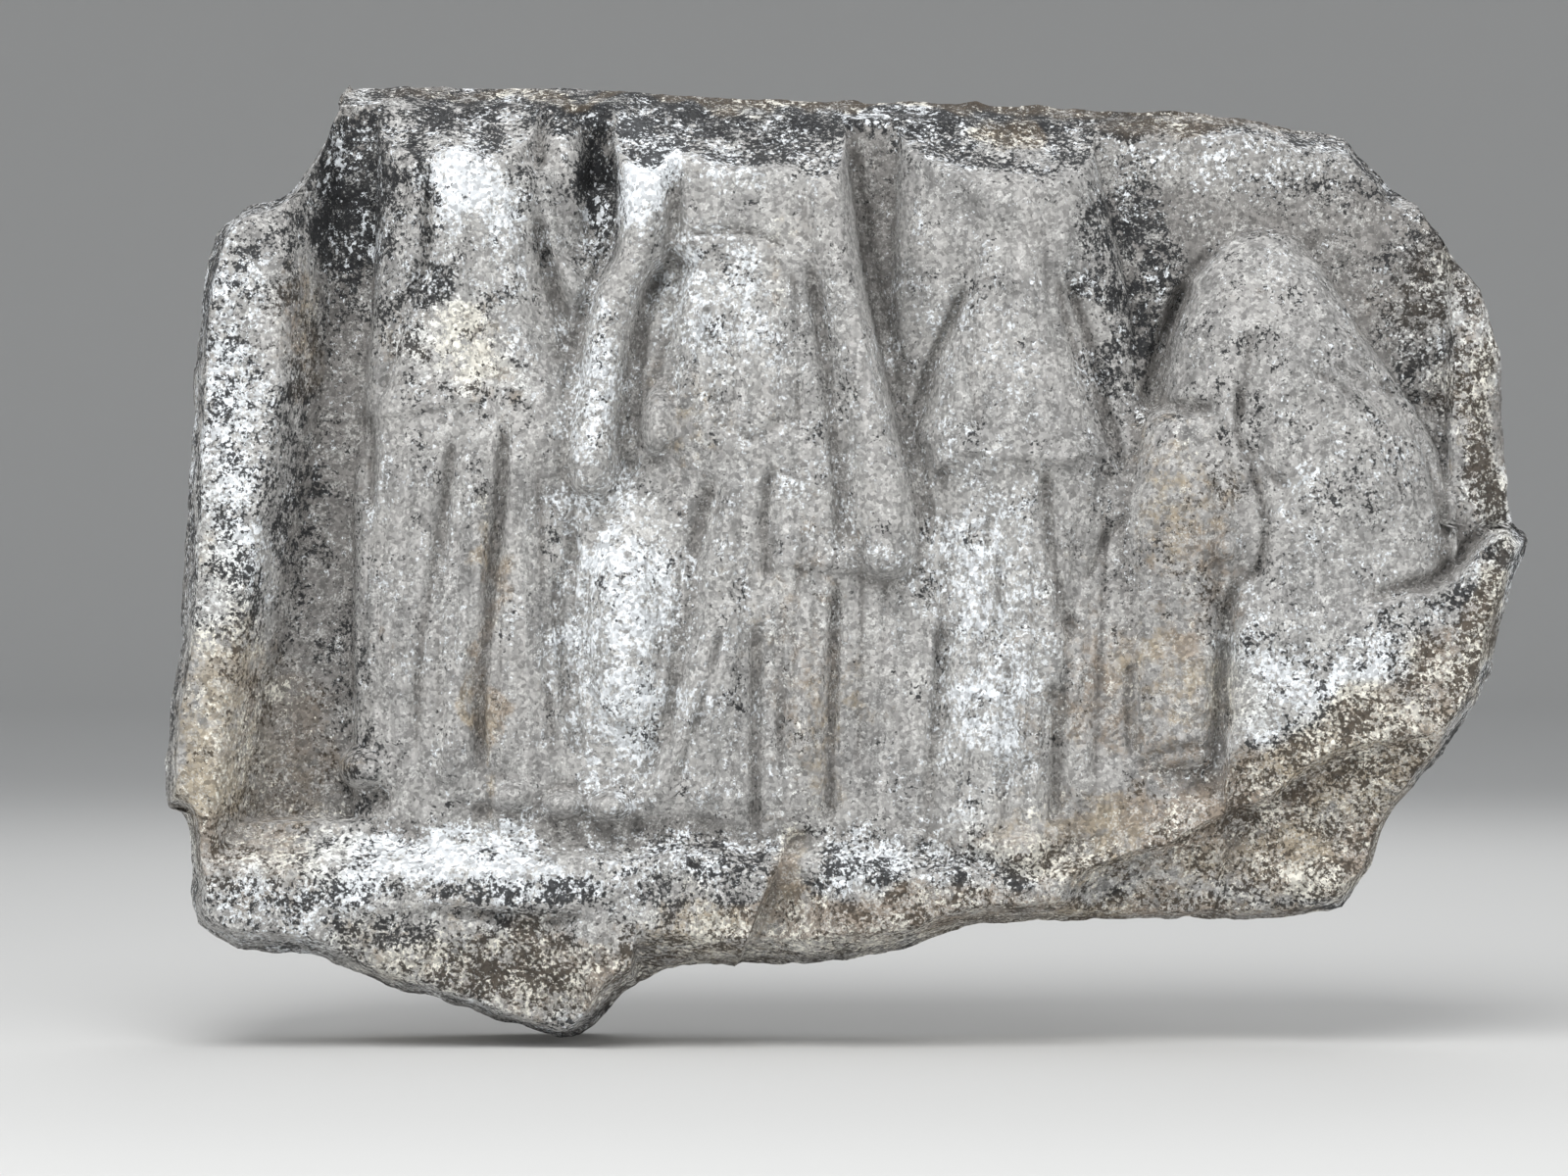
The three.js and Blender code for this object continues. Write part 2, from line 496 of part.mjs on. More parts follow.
function reliefBlock() {
  const sides = { top: smoothLine(TOP_SIDE), right: smoothLine(RIGHT_SIDE), bottom: smoothLine(BOTTOM_SIDE),
    left: smoothLine(LEFT_SIDE) };
  const outline = Object.values(sides).flatMap((side) => side.slice(1));
  outline.push(outline[0]);
  // rows lie closer at the ledge, at the hem of the overfold and at the broken top
  const closeAt = (t) => (
    1 + 1.3 * bell(t - 0.14, 0.09) + 0.5 * bell(t - 0.6, 0.03) + 0.9 * bell(t - 0.95, 0.07)
  );
  const shareAcross = spread(COLUMNS * FINE, () => 1);
  const shareUp = spread(ROWS * FINE, closeAt);
  const relief = new Relief(gridPlaces(sides, shareAcross, shareUp));
  packing(relief);
  firstFigure(relief);
  secondFigure(relief);
  thirdFigure(relief);
  seatedFigure(relief);
  borders(relief);
  base(relief);
  brokenMass(relief);
  breaks(relief, outline);

  const depth = averaged(relief.depth);
  const everyFinest = (share, k) => k % FINE === 0;
  const places = gridPlaces(sides, shareAcross.filter(everyFinest), shareUp.filter(everyFinest));
  const positions = places.flatMap(([x, z], i) => [x, -depth[i], z]);
  const across = COLUMNS + 1;
  const index = [];
  for (let j = 0; j < ROWS; j += 1) {
    for (let i = 0; i < COLUMNS; i += 1) {
      const [a, b] = [j * across + i, j * across + i + 1];
      const [c, d] = [b + across, a + across];
      // each cell is split along the line that changes the thickness least
      if (Math.abs(depth[a] - depth[c]) < Math.abs(depth[b] - depth[d])) index.push(a, b, c, a, c, d);
      else index.push(a, b, d, b, c, d);
    }
  }
  addWallsAndBack(positions, index, borderLoop(across));
  const geometry = new THREE.BufferGeometry();
  geometry.setAttribute('position', new THREE.Float32BufferAttribute(positions, 3));
  geometry.setIndex(index);
  geometry.computeVertexNormals();
  return geometry;
}

// grid points round the edge of the front, anticlockwise as seen from the front
function borderLoop(across) {
  const loop = [];
  for (let i = 0; i < COLUMNS; i += 1) loop.push(i);
  for (let j = 0; j < ROWS; j += 1) loop.push(j * across + COLUMNS);
  for (let i = COLUMNS; i > 0; i -= 1) loop.push(ROWS * across + i);
  for (let j = ROWS; j > 0; j -= 1) loop.push(j * across);
  return loop;
}

function addWallsAndBack(positions, index, loop) {
  const count = loop.length;
  let ring = loop;
  for (let step = 1; step <= WALL_RINGS; step += 1) {
    const share = step / WALL_RINGS;
    const start = positions.length / 3;
    loop.forEach((corner) => {
      const [x, y, z] = positions.slice(3 * corner, 3 * corner + 3);
      // the wall is rough halfway back and true at the back
      const dent = step < WALL_RINGS ? 1 - 0.006 * (1 + rough(x, z, 70, 90)) : 0.99;
      positions.push(x * dent, y * (1 - share), z * dent);
    });
    for (let k = 0; k < count; k += 1) {
      const next = (k + 1) % count;
      index.push(ring[k], start + k, start + next, ring[k], start + next, ring[next]);
    }
    ring = loop.map((corner, k) => start + k);
  }
  const rim = ring.map((corner) => new THREE.Vector2(positions[3 * corner], positions[3 * corner + 2]));
  THREE.ShapeUtils.triangulateShape(rim, []).forEach(([a, b, c]) => {
    const ab = rim[b].clone().sub(rim[a]);
    const upright = ab.cross(rim[c].clone().sub(rim[a]));
    index.push(...(upright > 0 ? [ring[a], ring[c], ring[b]] : [ring[a], ring[b], ring[c]]));
  });
}

const group = new THREE.Group();
const block = new THREE.Mesh(reliefBlock(), new THREE.MeshStandardMaterial(STONE));
block.name = 'relief_block';
group.add(block);

export default group;
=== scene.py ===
"""A broken stone relief panel with four draped figures, laid out as an add-on and run as a script."""

import math

import bpy
import numpy as np
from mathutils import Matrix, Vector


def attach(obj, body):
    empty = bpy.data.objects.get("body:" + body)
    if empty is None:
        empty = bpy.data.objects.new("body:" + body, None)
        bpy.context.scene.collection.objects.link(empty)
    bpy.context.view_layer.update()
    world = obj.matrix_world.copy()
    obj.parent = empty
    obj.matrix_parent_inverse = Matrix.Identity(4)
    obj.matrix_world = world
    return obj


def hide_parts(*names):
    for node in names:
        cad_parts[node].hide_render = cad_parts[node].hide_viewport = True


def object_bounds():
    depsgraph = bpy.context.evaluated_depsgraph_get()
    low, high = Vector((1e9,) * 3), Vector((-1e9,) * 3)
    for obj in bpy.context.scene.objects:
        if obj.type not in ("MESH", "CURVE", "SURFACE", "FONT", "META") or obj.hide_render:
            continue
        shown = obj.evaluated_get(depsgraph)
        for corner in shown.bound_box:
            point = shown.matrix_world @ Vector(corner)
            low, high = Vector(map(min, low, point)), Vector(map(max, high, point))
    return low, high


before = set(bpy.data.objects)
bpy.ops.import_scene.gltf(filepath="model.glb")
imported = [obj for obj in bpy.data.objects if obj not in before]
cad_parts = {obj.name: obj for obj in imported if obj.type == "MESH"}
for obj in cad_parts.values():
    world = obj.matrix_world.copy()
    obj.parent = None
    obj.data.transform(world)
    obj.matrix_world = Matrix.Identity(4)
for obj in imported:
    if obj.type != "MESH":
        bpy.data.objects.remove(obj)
CAD_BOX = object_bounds()

bl_info = {
    "name": "Stone relief panel",
    "version": (1, 0, 0),
    "blender": (4, 5, 0),
    "location": "3D View > Sidebar > Relief",
    "description": "Carves a weathered stone relief panel and sets it on a plain studio stage",
    "category": "Object",
}

MM = 0.001
NODE = "relief_block"

# The sizes below are millimetres on the face of the block: x to the right, z up, thickness from the flat back.
GROUND = 112  # thickness at the bare ground between the figures
CLOTH = 172  # thickness at the front of the hanging drapery
CHEST = 180  # thickness at the front of the upper bodies
ARM = 190  # thickness at the front of the arms and knees
BORDER = 192  # thickness at the crest of the left border
BAND = 26  # how far the right border stands above the ground
LEDGE = 206  # thickness at the front of the ledge
MASS = 196  # thickness of the broken mass at the lower right
RIM = 96  # thickness at the broken outline
HANGING = 184  # thickness of the lump that hangs below the ledge
BREAK = 28  # how far the stone right of the slanting break lies behind the stone left of it
BREAK_TOP = 9  # the same at the top of the break
END = 18  # how far the top and foot of a body or limb round over

FRAME = (-505, 505, -324, 370)  # the even grid before it bends: left, right, foot and head
MARGIN = 0.16  # share of the width and height over which the grid bends to the outline

TOP_SIDE = [
    (-408, 379), (-300, 380), (-180, 377), (-60, 370), (60, 369), (200, 363), (320, 356), (406, 338)]
RIGHT_SIDE = [
    (406, 338), (442, 300), (484, 248), (520, 196), (531, 120), (536, 30), (550, 16), (552, 0), (530, -60),
    (516, -116), (480, -172), (436, -224), (424, -262), (400, -292)]
BOTTOM_SIDE = [
    (400, -292), (350, -302), (230, -302), (110, -308), (50, -326), (-36, -340), (-134, -342), (-176, -360),
    (-204, -388), (-236, -398), (-310, -376), (-380, -354), (-428, -334), (-496, -328)]
LEFT_SIDE = [
    (-496, -328), (-528, -304), (-534, -260), (-538, -218), (-553, -208), (-553, -140), (-542, -64), (-535, 60),
    (-530, 176), (-518, 238), (-494, 276), (-456, 290), (-424, 330), (-408, 379)]

# The draped bodies: height, left edge, right edge and thickness at the front, from the top down.
FIRST = [
    (372, -378, -248, CHEST - 12), (300, -380, -246, CLOTH), (216, -382, -242, CLOTH - 2),
    (190, -384, -238, CLOTH - 2), (150, -388, -226, CLOTH), (120, -390, -206, CLOTH + 2),
    (96, -390, -202, CLOTH + 2), (32, -390, -204, CLOTH - 4), (-40, -396, -206, CLOTH - 6),
    (-120, -396, -206, CLOTH - 4), (-196, -390, -202, CLOTH - 6), (-240, -388, -200, CLOTH - 20)]
SECOND = [
    (372, -166, -2, CHEST - 4), (300, -166, 0, CHEST - 4), (244, -160, 8, CHEST - 2), (226, -138, 10, CHEST - 2),
    (184, -146, 18, CHEST), (144, -154, 24, CHEST + 2), (104, -166, 30, CHEST + 2), (64, -180, 38, CHEST - 2),
    (20, -214, 44, CLOTH + 2), (-20, -226, 44, CLOTH), (-120, -226, 36, CLOTH), (-200, -224, 28, CLOTH),
    (-242, -222, 24, CLOTH - 14)]
SECOND_LEFT_ARM = [
    (372, -188, -136, ARM - 12), (318, -190, -134, ARM - 10), (280, -188, -136, ARM - 4),
    (256, -188, -138, ARM - 6), (232, -192, -141, ARM - 10), (206, -206, -160, ARM - 13),
    (168, -214, -170, ARM - 12), (128, -220, -176, ARM - 10), (100, -226, -179, ARM - 6), (70, -230, -179, ARM - 2),
    (48, -227, -180, ARM - 10), (32, -216, -188, ARM - 26)]
SECOND_RIGHT_ARM = [
    (372, -52, -8, ARM - 16), (320, -50, 0, ARM - 9), (280, -44, 5, ARM - 2), (232, -38, 11, ARM),
    (200, -30, 17, ARM), (160, -20, 26, ARM), (128, -14, 34, ARM), (88, -10, 43, ARM), (56, -8, 52, ARM),
    (20, -6, 60, ARM - 2), (-8, 0, 61, ARM - 8), (-34, 10, 48, ARM - 22)]
THIRD_SLEEVES = [
    (372, 44, 192, CHEST - 4), (314, 38, 200, CHEST - 10), (240, 34, 218, CHEST - 12), (205, 34, 226, CHEST - 20),
    (160, 38, 232, CHEST - 30), (112, 50, 240, CHEST - 34), (86, 60, 232, CHEST - 42)]
THIRD = [
    (300, 72, 176, CHEST - 4), (250, 80, 176, CHEST - 2), (205, 88, 174, CHEST), (152, 68, 190, CHEST + 2),
    (112, 58, 204, CHEST + 2), (88, 50, 212, CHEST + 1), (66, 56, 218, CHEST - 1), (58, 62, 216, CLOTH + 3),
    (0, 64, 212, CLOTH), (-60, 64, 208, CLOTH), (-130, 60, 200, CLOTH + 1), (-190, 52, 196, CLOTH + 3),
    (-256, 50, 192, CLOTH + 6)]
SEATED_BACK = [
    (258, 316, 352, CHEST - 54), (246, 298, 368, CHEST - 38), (216, 274, 388, CHEST - 18),
    (170, 257, 416, CHEST + 1), (120, 250, 452, CHEST + 3), (80, 268, 474, CHEST + 4), (40, 272, 484, CHEST + 3),
    (0, 280, 488, CHEST + 1), (-24, 284, 490, CHEST), (-90, 284, 490, CHEST)]
SEATED_LAP = [
    (120, 244, 296, ARM - 34), (96, 230, 310, ARM - 14), (40, 216, 326, ARM - 4), (0, 210, 330, ARM - 5),
    (-30, 214, 320, ARM - 12), (-60, 216, 306, ARM - 18), (-100, 218, 300, ARM - 17), (-150, 220, 298, ARM - 14),
    (-184, 218, 300, ARM - 24)]

# Pleats that run down a body. The shares are places across the body, 0 at its left edge and 1 at its right:
# share at the top, share at the foot, height of the top, height of the foot, width, rise, sideways bow.
FIRST_PLEATS = [
    (0.63, 0.52, 110, -188, 5.5, -16, 0), (0.41, 0.228, 100, -190, 5.5, -9, 0), (0.49, 0.41, 100, -205, 13, 9, 0),
    (0.68, 0.65, 92, -190, 10, 8, 0), (0.17, 0.145, 70, -130, 13, 5, 0), (0.77, 0.83, 60, -180, 7, -5, 4)]
SECOND_PLEATS = [
    (0.187, 0.307, 198, 102, 5, -7, 0), (0.616, 0.626, 226, 84, 5, -8, 4), (0.72, 0.816, 228, -14, 6, -13, 0),
    (0.11, 0.17, 200, 104, 8, 5, 0), (0.541, 0.596, 66, -28, 5, -11, 0), (0.564, 0.602, -56, -234, 6, -14, 0),
    (0.8, 0.833, -22, -228, 7, -15, 0), (0.695, 0.74, -36, -180, 9, 7, 0), (0.64, 0.672, -46, -190, 4, -6, 0),
    (0.42, 0.26, 70, -216, 10, 11, 26), (0.52, 0.413, -28, -222, 9, 10, 0), (0.47, 0.323, -60, -196, 5, -9, 4),
    (0.5, 0.42, -56, -200, 4, -7, 2), (0.345, 0.237, 62, -190, 9, -12, 18)]
THIRD_PLEATS = [
    (0.165, 0.33, 186, 88, 5, -8, 0), (0.39, 0.48, 200, 100, 6, -4, 0), (0.7, 0.71, 192, 96, 5, -4, 0),
    (0.615, 0.8, 66, -76, 7, -15, -7), (0.725, 0.79, -104, -226, 10, -14, 0), (0.325, 0.41, 54, -84, 6, -9, 0),
    (0.52, 0.6, -60, -172, 9, 9, 0), (0.45, 0.48, -80, -256, 6, -9, 4), (0.07, 0.1, -62, -158, 7, -8, 0),
    (0.19, 0.24, -36, -200, 12, 6, 0), (0.85, 0.93, -78, -210, 10, 7, 0)]


# ---- small mathematics, on whole arrays of places ----

def smoothstep(low, high, value):
    """0 below low, 1 above high and smooth between them."""
    t = np.clip((value - low) / (high - low), 0.0, 1.0)
    return t * t * (3 - 2 * t)


def smooth_max(a, b, reach):
    """The larger of two heights, with the corner between them filled."""
    share = np.clip(0.5 + 0.5 * (a - b) / reach, 0, 1)
    return b + (a - b) * share + reach * share * (1 - share)


def smooth_min(a, b, reach):
    """The smaller of two heights, with the corner between them rounded off."""
    return -smooth_max(-a, -b, reach)


def bell(distance, reach):
    """1 at no distance, fading to nothing past about twice the reach."""
    return np.exp(-(distance / reach) ** 2)


def between(pairs, place, column=1):
    """Values of a list of (place, value ...) rows at places between its rows."""
    rows = np.array(sorted(pairs), float)
    return np.interp(place, rows[:, 0], rows[:, column])


def chance(i, j, seed):
    """A repeatable random value from 0 to 1 for each pair of whole numbers."""
    wrap = 0xFFFFFFFF
    h = (i.astype(np.int64) * 374761393 + j.astype(np.int64) * 668265263 + seed * 974711) & wrap
    h = ((h ^ (h >> 13)) * 1274126177) & wrap
    return ((h ^ (h >> 16)) & wrap) / 4294967296.0


def lumps(x, z, size, seed):
    """Smooth lumps from -1 to 1, about size wide."""
    u, v = x / size, z / size
    i, j = np.floor(u), np.floor(v)
    s, t = smoothstep(0, 1, u - i), smoothstep(0, 1, v - j)
    low = chance(i, j, seed) * (1 - s) + chance(i + 1, j, seed) * s
    high = chance(i, j + 1, seed) * (1 - s) + chance(i + 1, j + 1, seed) * s
    return 2 * (low * (1 - t) + high * t) - 1


def rough(x, z, size, seed, octaves=2):
    """Lumps with smaller lumps on them, like broken stone."""
    return sum(0.5 ** k * lumps(x + 37 * k, z - 53 * k, size / 2 ** k, seed + k) for k in range(octaves))


def smooth_line(points, steps=6):
    """A smooth line through the points, as short straight steps."""
    p = np.array(points, float)
    if len(p) < 3:
        return p
    q = np.vstack([p[0], p, p[-1]])
    line = []
    for a, b, c, d in zip(q[:-3], q[1:-2], q[2:-1], q[3:]):
        for t in np.arange(steps) / steps:
            line.append(0.5 * (2 * b + (c - a) * t + (2 * a - 5 * b + 4 * c - d) * t ** 2
                               + (3 * b - 3 * c + d - a) * t ** 3))
    return np.array(line + [p[-1]])


# ---- the carver's tools ----

class Relief:
    """The front of the block as a thickness at every place of the grid."""

    def __init__(self, x, z):
        self.x, self.z = x, z
        self.depth = np.full(x.shape, float(GROUND))
        self.broken = np.zeros(x.shape)
        self.gap = np.zeros(x.shape)

    def body(self, rows, roundness, blend):
        """A draped body or limb with a rounded section between its two edges."""
        top, foot = rows[0][0], rows[-1][0]
        left, right, front = (between(rows, self.z, k) for k in (1, 2, 3))
        across = np.abs(self.x - (left + right) / 2) / ((right - left) / 2)
        inside = (across < 1) & (self.z <= top) & (self.z >= foot)
        ends = np.clip(np.minimum(top - self.z, self.z - foot) / END, 0, 1)
        rise = np.sqrt(1 - (1 - ends) ** 2) * np.sqrt(1 - np.clip(across, 0, 1) ** roundness)
        shape = smooth_max(self.depth, GROUND + (front - GROUND) * rise, blend)
        self.depth = np.where(inside, shape, self.depth)

    def lump(self, x0, z0, half_width, half_height, front, blend=8):
        """A rounded lump."""
        across = np.abs((self.x - x0) / half_width) ** 2.2 + np.abs((self.z - z0) / half_height) ** 2.2
        shape = GROUND + (front - GROUND) * np.sqrt(np.clip(1 - across, 0, 1))
        self.depth = np.where(across < 1, smooth_max(self.depth, shape, blend), self.depth)

    def dent(self, x0, z0, half_width, half_height, fall):
        """A soft hollow."""
        self.depth = self.depth - fall * bell(self.x - x0, half_width) * bell(self.z - z0, half_height)

    def along(self, points, reach, cut):
        """Runs a tool along a line. cut gives the change from the distance, the side and the share of the way."""
        line = smooth_line(points)
        low, high = line.min(0) - reach, line.max(0) + reach
        near = (self.x > low[0]) & (self.x < high[0]) & (self.z > low[1]) & (self.z < high[1])
        x, z = self.x[near], self.z[near]
        best, share, side = np.full(x.shape, float(reach)), np.full(x.shape, -1.0), np.zeros(x.shape)
        lengths = np.hypot(*np.diff(line, axis=0).T)
        run = 0.0
        for start, end, length in zip(line[:-1], line[1:], lengths):
            ux, uz = (end - start) / length
            dx, dz = x - start[0], z - start[1]
            t = np.clip(dx * ux + dz * uz, 0, length)
            distance = np.hypot(dx - t * ux, dz - t * uz)
            closer = distance < best
            best = np.where(closer, distance, best)
            share = np.where(closer, (run + t) / lengths.sum(), share)
            side = np.where(closer, np.sign(dx * uz - dz * ux), side)
            run += length
        taper = smoothstep(0, 0.12, share) * smoothstep(0, 0.12, 1 - share)
        self.depth[near] += np.where(share >= 0, taper * cut(best, side), 0)

    def fold(self, points, width, rise):
        """A raised fold, or with a negative rise a chiselled groove."""
        if rise > 0:
            self.along(points, 2.4 * width, lambda distance, side: rise * bell(distance, width))
        else:
            self.along(points, 1.6 * width,
                       lambda distance, side: rise * np.clip(1 - distance / (1.5 * width), 0, 1) ** 1.6)

    def hem(self, points, rise, fade):
        """An edge of cloth that stands up on the right of the line and sinks back behind it."""
        self.along(points, 3 * fade, lambda distance, side: np.where(
            side > 0, rise * smoothstep(0, 3, distance) * np.exp(-distance / fade), 0))

    def fine_folds(self, rows, top, foot, count, seed):
        """Faint folds between the deep ones, each a little aslant."""
        for k in np.arange(count):
            share = (k + 0.3 + 0.4 * chance(k, k, seed)) / count
            drift = 0.06 * (chance(k, k + 1, seed) - 0.5) + 0.05 * (share - 0.5)
            start = top - 40 * chance(k, k + 2, seed)
            end = foot + 50 * chance(k, k + 3, seed)
            rise = (2.6 + 2.2 * chance(k, k + 4, seed)) * (1 if chance(k, k + 5, seed) > 0.45 else -1.2)
            self.pleats(rows, [(share - drift, share + drift, start, end, 3.4, rise, 3 * (share - 0.5))])

    def pleats(self, rows, items):
        """Folds and grooves that run down a body."""
        for share_top, share_foot, top, foot, width, rise, bow in items:
            t = np.linspace(0, 1, 5)
            z = top + (foot - top) * t
            left, right = between(rows, z, 1), between(rows, z, 2)
            x = left + (share_top + (share_foot - share_top) * t) * (right - left) + bow * 4 * t * (1 - t)
            self.fold(list(zip(x, z)), width, rise)


# ---- the figures ----

def carve_first_figure(relief):
    """The draped figure at the left end."""
    relief.body(FIRST, 3.2, 12)
    relief.lump(-230, 290, 22, 64, 144, 16)
    relief.fold([(-336, 320), (-335, 262), (-338, 222), (-352, 196), (-368, 136), (-384, 110)], 6, -11)
    relief.pleats(FIRST, FIRST_PLEATS)
    relief.fine_folds(FIRST, 96, -200, 17, 401)
    relief.fine_folds(FIRST, 320, 120, 8, 402)
    relief.fold([(-252, 270), (-240, 224), (-230, 184), (-224, 146)], 8, -16)
    relief.fold([(-386, 112), (-382, 80), (-385, 28)], 7, -14)
    relief.hem([(-284, 114), (-330, 110), (-380, 100)], 7, 18)
    relief.fold([(-228, 30), (-222, -4), (-232, -34), (-232, -64), (-224, -120), (-214, -176)], 8, -12)
    relief.fold([(-296, 20), (-302, -60), (-314, -130), (-322, -206)], 9, 7)
    relief.lump(-386, -176, 24, 20, 166)
    relief.dent(-374, -199, 9, 8, 12)
    relief.lump(-268, -196, 30, 20, CLOTH + 8)
    relief.lump(-226, -204, 24, 16, CLOTH + 12)
    relief.dent(-292, -210, 7, 7, 8)


def carve_second_figure(relief):
    """The figure with both arms hanging and one leg bent under the skirt."""
    relief.body(SECOND, 3.6, 12)
    relief.body(SECOND_LEFT_ARM, 2.6, 7)
    relief.body(SECOND_RIGHT_ARM, 2.8, 7)
    relief.fold([(-250, 310), (-244, 262), (-228, 222), (-208, 192)], 11, 18)
    relief.fold([(-192, 252), (-200, 222), (-212, 192), (-221, 150), (-229, 112)], 5, -10)
    relief.pleats(SECOND, SECOND_PLEATS)
    relief.fine_folds(SECOND, 40, -210, 20, 411)
    relief.fine_folds(SECOND, 230, 70, 10, 412)
    relief.fold([(-202, 344), (-202, 300), (-204, 262), (-208, 236)], 9, -11)
    relief.fold([(-146, 240), (-156, 212), (-164, 180), (-170, 140), (-174, 84), (-177, 44)], 7, -11)
    relief.dent(-156, 214, 8, 12, 9)
    relief.fold([(-136, 336), (-137, 290), (-138, 240)], 5, -9)
    relief.lump(-150, 98, 20, 38, ARM - 4)
    relief.hem([(-132, 90), (-152, 74), (-170, 66)], 6, 12)
    relief.fold([(-132, 247), (-104, 251), (-74, 249), (-48, 236)], 3.6, -9)
    relief.fold([(-108, 102), (-78, 86), (-48, 106)], 6, -6)
    relief.dent(-134, 36, 30, 40, 14)
    relief.lump(-178, -70, 40, 112, ARM + 2)
    relief.hem([(54, -30), (0, -20), (-70, -16)], 6, 16)
    relief.lump(-190, -204, 26, 18, CLOTH + 20)
    relief.dent(-168, -222, 5, 5, 16)
    relief.fold([(-2, 340), (8, 288), (16, 240), (26, 184), (36, 134), (48, 90), (58, 56), (66, -10)], 7, -14)


def carve_third_figure(relief):
    """The figure in a tunic with a straight overfold at the hips."""
    relief.body(THIRD_SLEEVES, 3.4, 8)
    relief.body(THIRD, 3, 8)
    relief.pleats(THIRD, THIRD_PLEATS)
    relief.fine_folds(THIRD, 56, -230, 16, 421)
    relief.fine_folds(THIRD, 250, 80, 8, 422)
    for k in range(3):
        relief.fold([(92 + 22 * k, 290 - 6 * k), (106 + 20 * k, 274 - 4 * k), (118 + 18 * k, 254 - 2 * k)], 6, 5)
    relief.fold([(104, 246), (114, 220), (134, 204)], 6, 5)
    relief.fold([(94, 210), (78, 174), (64, 142), (54, 104), (48, 82)], 5, -12)
    relief.fold([(172, 218), (184, 188), (195, 154), (205, 112), (213, 84), (221, 52)], 5, -12)
    relief.hem([(220, 50), (196, 73), (173, 66), (143, 69), (114, 67), (99, 74), (76, 64), (60, 46)], 8, 12)
    relief.lump(134, -242, 36, 26, ARM + 6)


def carve_seated_figure(relief):
    """The seated figure at the right end, wrapped in a cloak and turned to the left."""
    relief.body(SEATED_BACK, 3, 8)
    relief.body(SEATED_LAP, 3, 8)
    relief.fold([(276, 214), (259, 180), (250, 152), (245, 132), (239, 108)], 8, -24)
    relief.fold([(258, 182), (272, 214), (296, 240), (330, 250)], 3.4, -6)
    relief.fold([(240, 116), (262, 112), (290, 112)], 5, -9)
    relief.fold([(318, 176), (314, 128), (308, 96)], 6, -8)
    relief.fold([(307, 92), (319, 64), (328, 32), (330, 6), (324, -18), (308, -26)], 4.5, -12)
    relief.fold([(308, 130), (309, 108), (307, 84)], 4, -8)
    relief.hem([(300, -168), (302, -60), (306, -26)], 9, 12)
    relief.fold([(318, 82), (332, 58), (350, 48)], 5, -7)
    relief.fold([(342, 136), (346, 90), (344, 50)], 10, 7)
    for k in range(3):
        s = 16 * k
        relief.fold([(392 - s, 158 - 6 * k), (424 - s, 132 - 4 * k), (449 - s, 98), (465 - s, 60),
                     (477 - s, 4 + 10 * k)], 5, k - 10)
        relief.fold([(384 - s, 152 - 6 * k), (415 - s, 126 - 4 * k), (439 - s, 92), (454 - s, 56),
                     (465 - s, 6 + 10 * k)], 6, 6)
    relief.fold([(404, 132), (436, 124), (478, 116)], 5, -8)
    relief.fold([(292, 60), (290, 24), (292, -20), (296, -60)], 9, -9)
    relief.lump(298, 0, 14, 18, ARM + 2)
    relief.fold([(224, 26), (206, 10), (196, -12), (184, -30)], 5, -7)
    relief.fold([(224, -90), (223, -130), (225, -168)], 4.5, -8)
    relief.hem([(226, -84), (262, -82), (300, -88)], 7, 14)
    relief.fold([(280, -80), (282, -104), (276, -134)], 9, 8)
    relief.fold([(226, -174), (260, -160), (298, -158)], 4, -7)
    relief.dent(366, 238, 12, 10, 12)


# ---- the block around them ----

def carve_packing(relief):
    """Stone left standing between the figures, low down."""
    relief.body([(170, -380, 300, GROUND + 6), (130, -386, 320, GROUND + 16), (90, -392, 330, GROUND + 30),
                 (40, -400, 340, GROUND + 42), (-80, -400, 330, GROUND + 46), (-250, -400, 330, GROUND + 48)], 10, 10)
    relief.body([(290, -262, -120, GROUND + 18), (200, -262, -120, GROUND + 30), (60, -250, -130, GROUND + 44)], 10, 10)


def carve_borders(relief):
    """The broad border at the left and the narrow band at the right."""
    x, z = relief.x, relief.z
    foot = [(330, -400), (288, -406), (128, -414), (-32, -438), (-152, -458), (-230, -468)]
    crest = [(300, BORDER - 22), (230, BORDER - 4), (0, BORDER + 2), (-200, BORDER - 2), (-300, BORDER - 12)]
    left = smoothstep(0, 1, (between(foot, z) - x) / 42)
    right = smoothstep(478, 483, x)
    worn = smoothstep(500, 530, x)
    relief.depth = relief.depth + (between(crest, z) - GROUND) * left + BAND * right - 16 * worn


def carve_base(relief):
    """The ledge under the feet, its broken front and the lump that hangs below it."""
    x, z = relief.x, relief.z
    sound = 1 - smoothstep(-230, -170, x)
    top = -222 - 8 * smoothstep(-40, 20, x) + 5 * lumps(x, z, 60, 11)
    whole = GROUND + 34 + (LEDGE - GROUND - 34) * smoothstep(-8, 52, top - z)
    broken = GROUND + 44 + 40 * smoothstep(0, 34, top - z) + 9 * rough(x, z, 44, 21, 3)
    stone = smooth_max(relief.depth, sound * whole + (1 - sound) * broken, 5)
    stone = np.where(z < top + 6, stone, relief.depth)
    under = smoothstep(-280, -292, z) * sound * smoothstep(-440, -400, x)
    hanging = HANGING + 0.25 * (z + 300) + 9 * rough(x, z, 60, 31, 3)
    past = x + 48 - 0.38 * (z + 232)  # how far right of the slanting break
    recess = smoothstep(-222, -240, z) * smoothstep(-1, 2, past) * (1 - smoothstep(16, 60, past))
    relief.depth = stone * (1 - under) + hanging * under
    relief.gap = (BREAK_TOP + (BREAK - BREAK_TOP) * smoothstep(-236, -290, z)) * recess
    relief.broken = np.maximum(relief.broken, np.maximum(under, (1 - sound) * smoothstep(-6, 14, top - z)))
    relief.broken = relief.broken * (1 - 0.7 * recess)
    relief.fold([(-352, -284), (-290, -288), (-248, -300), (-212, -288), (-168, -276)], 8, -14)


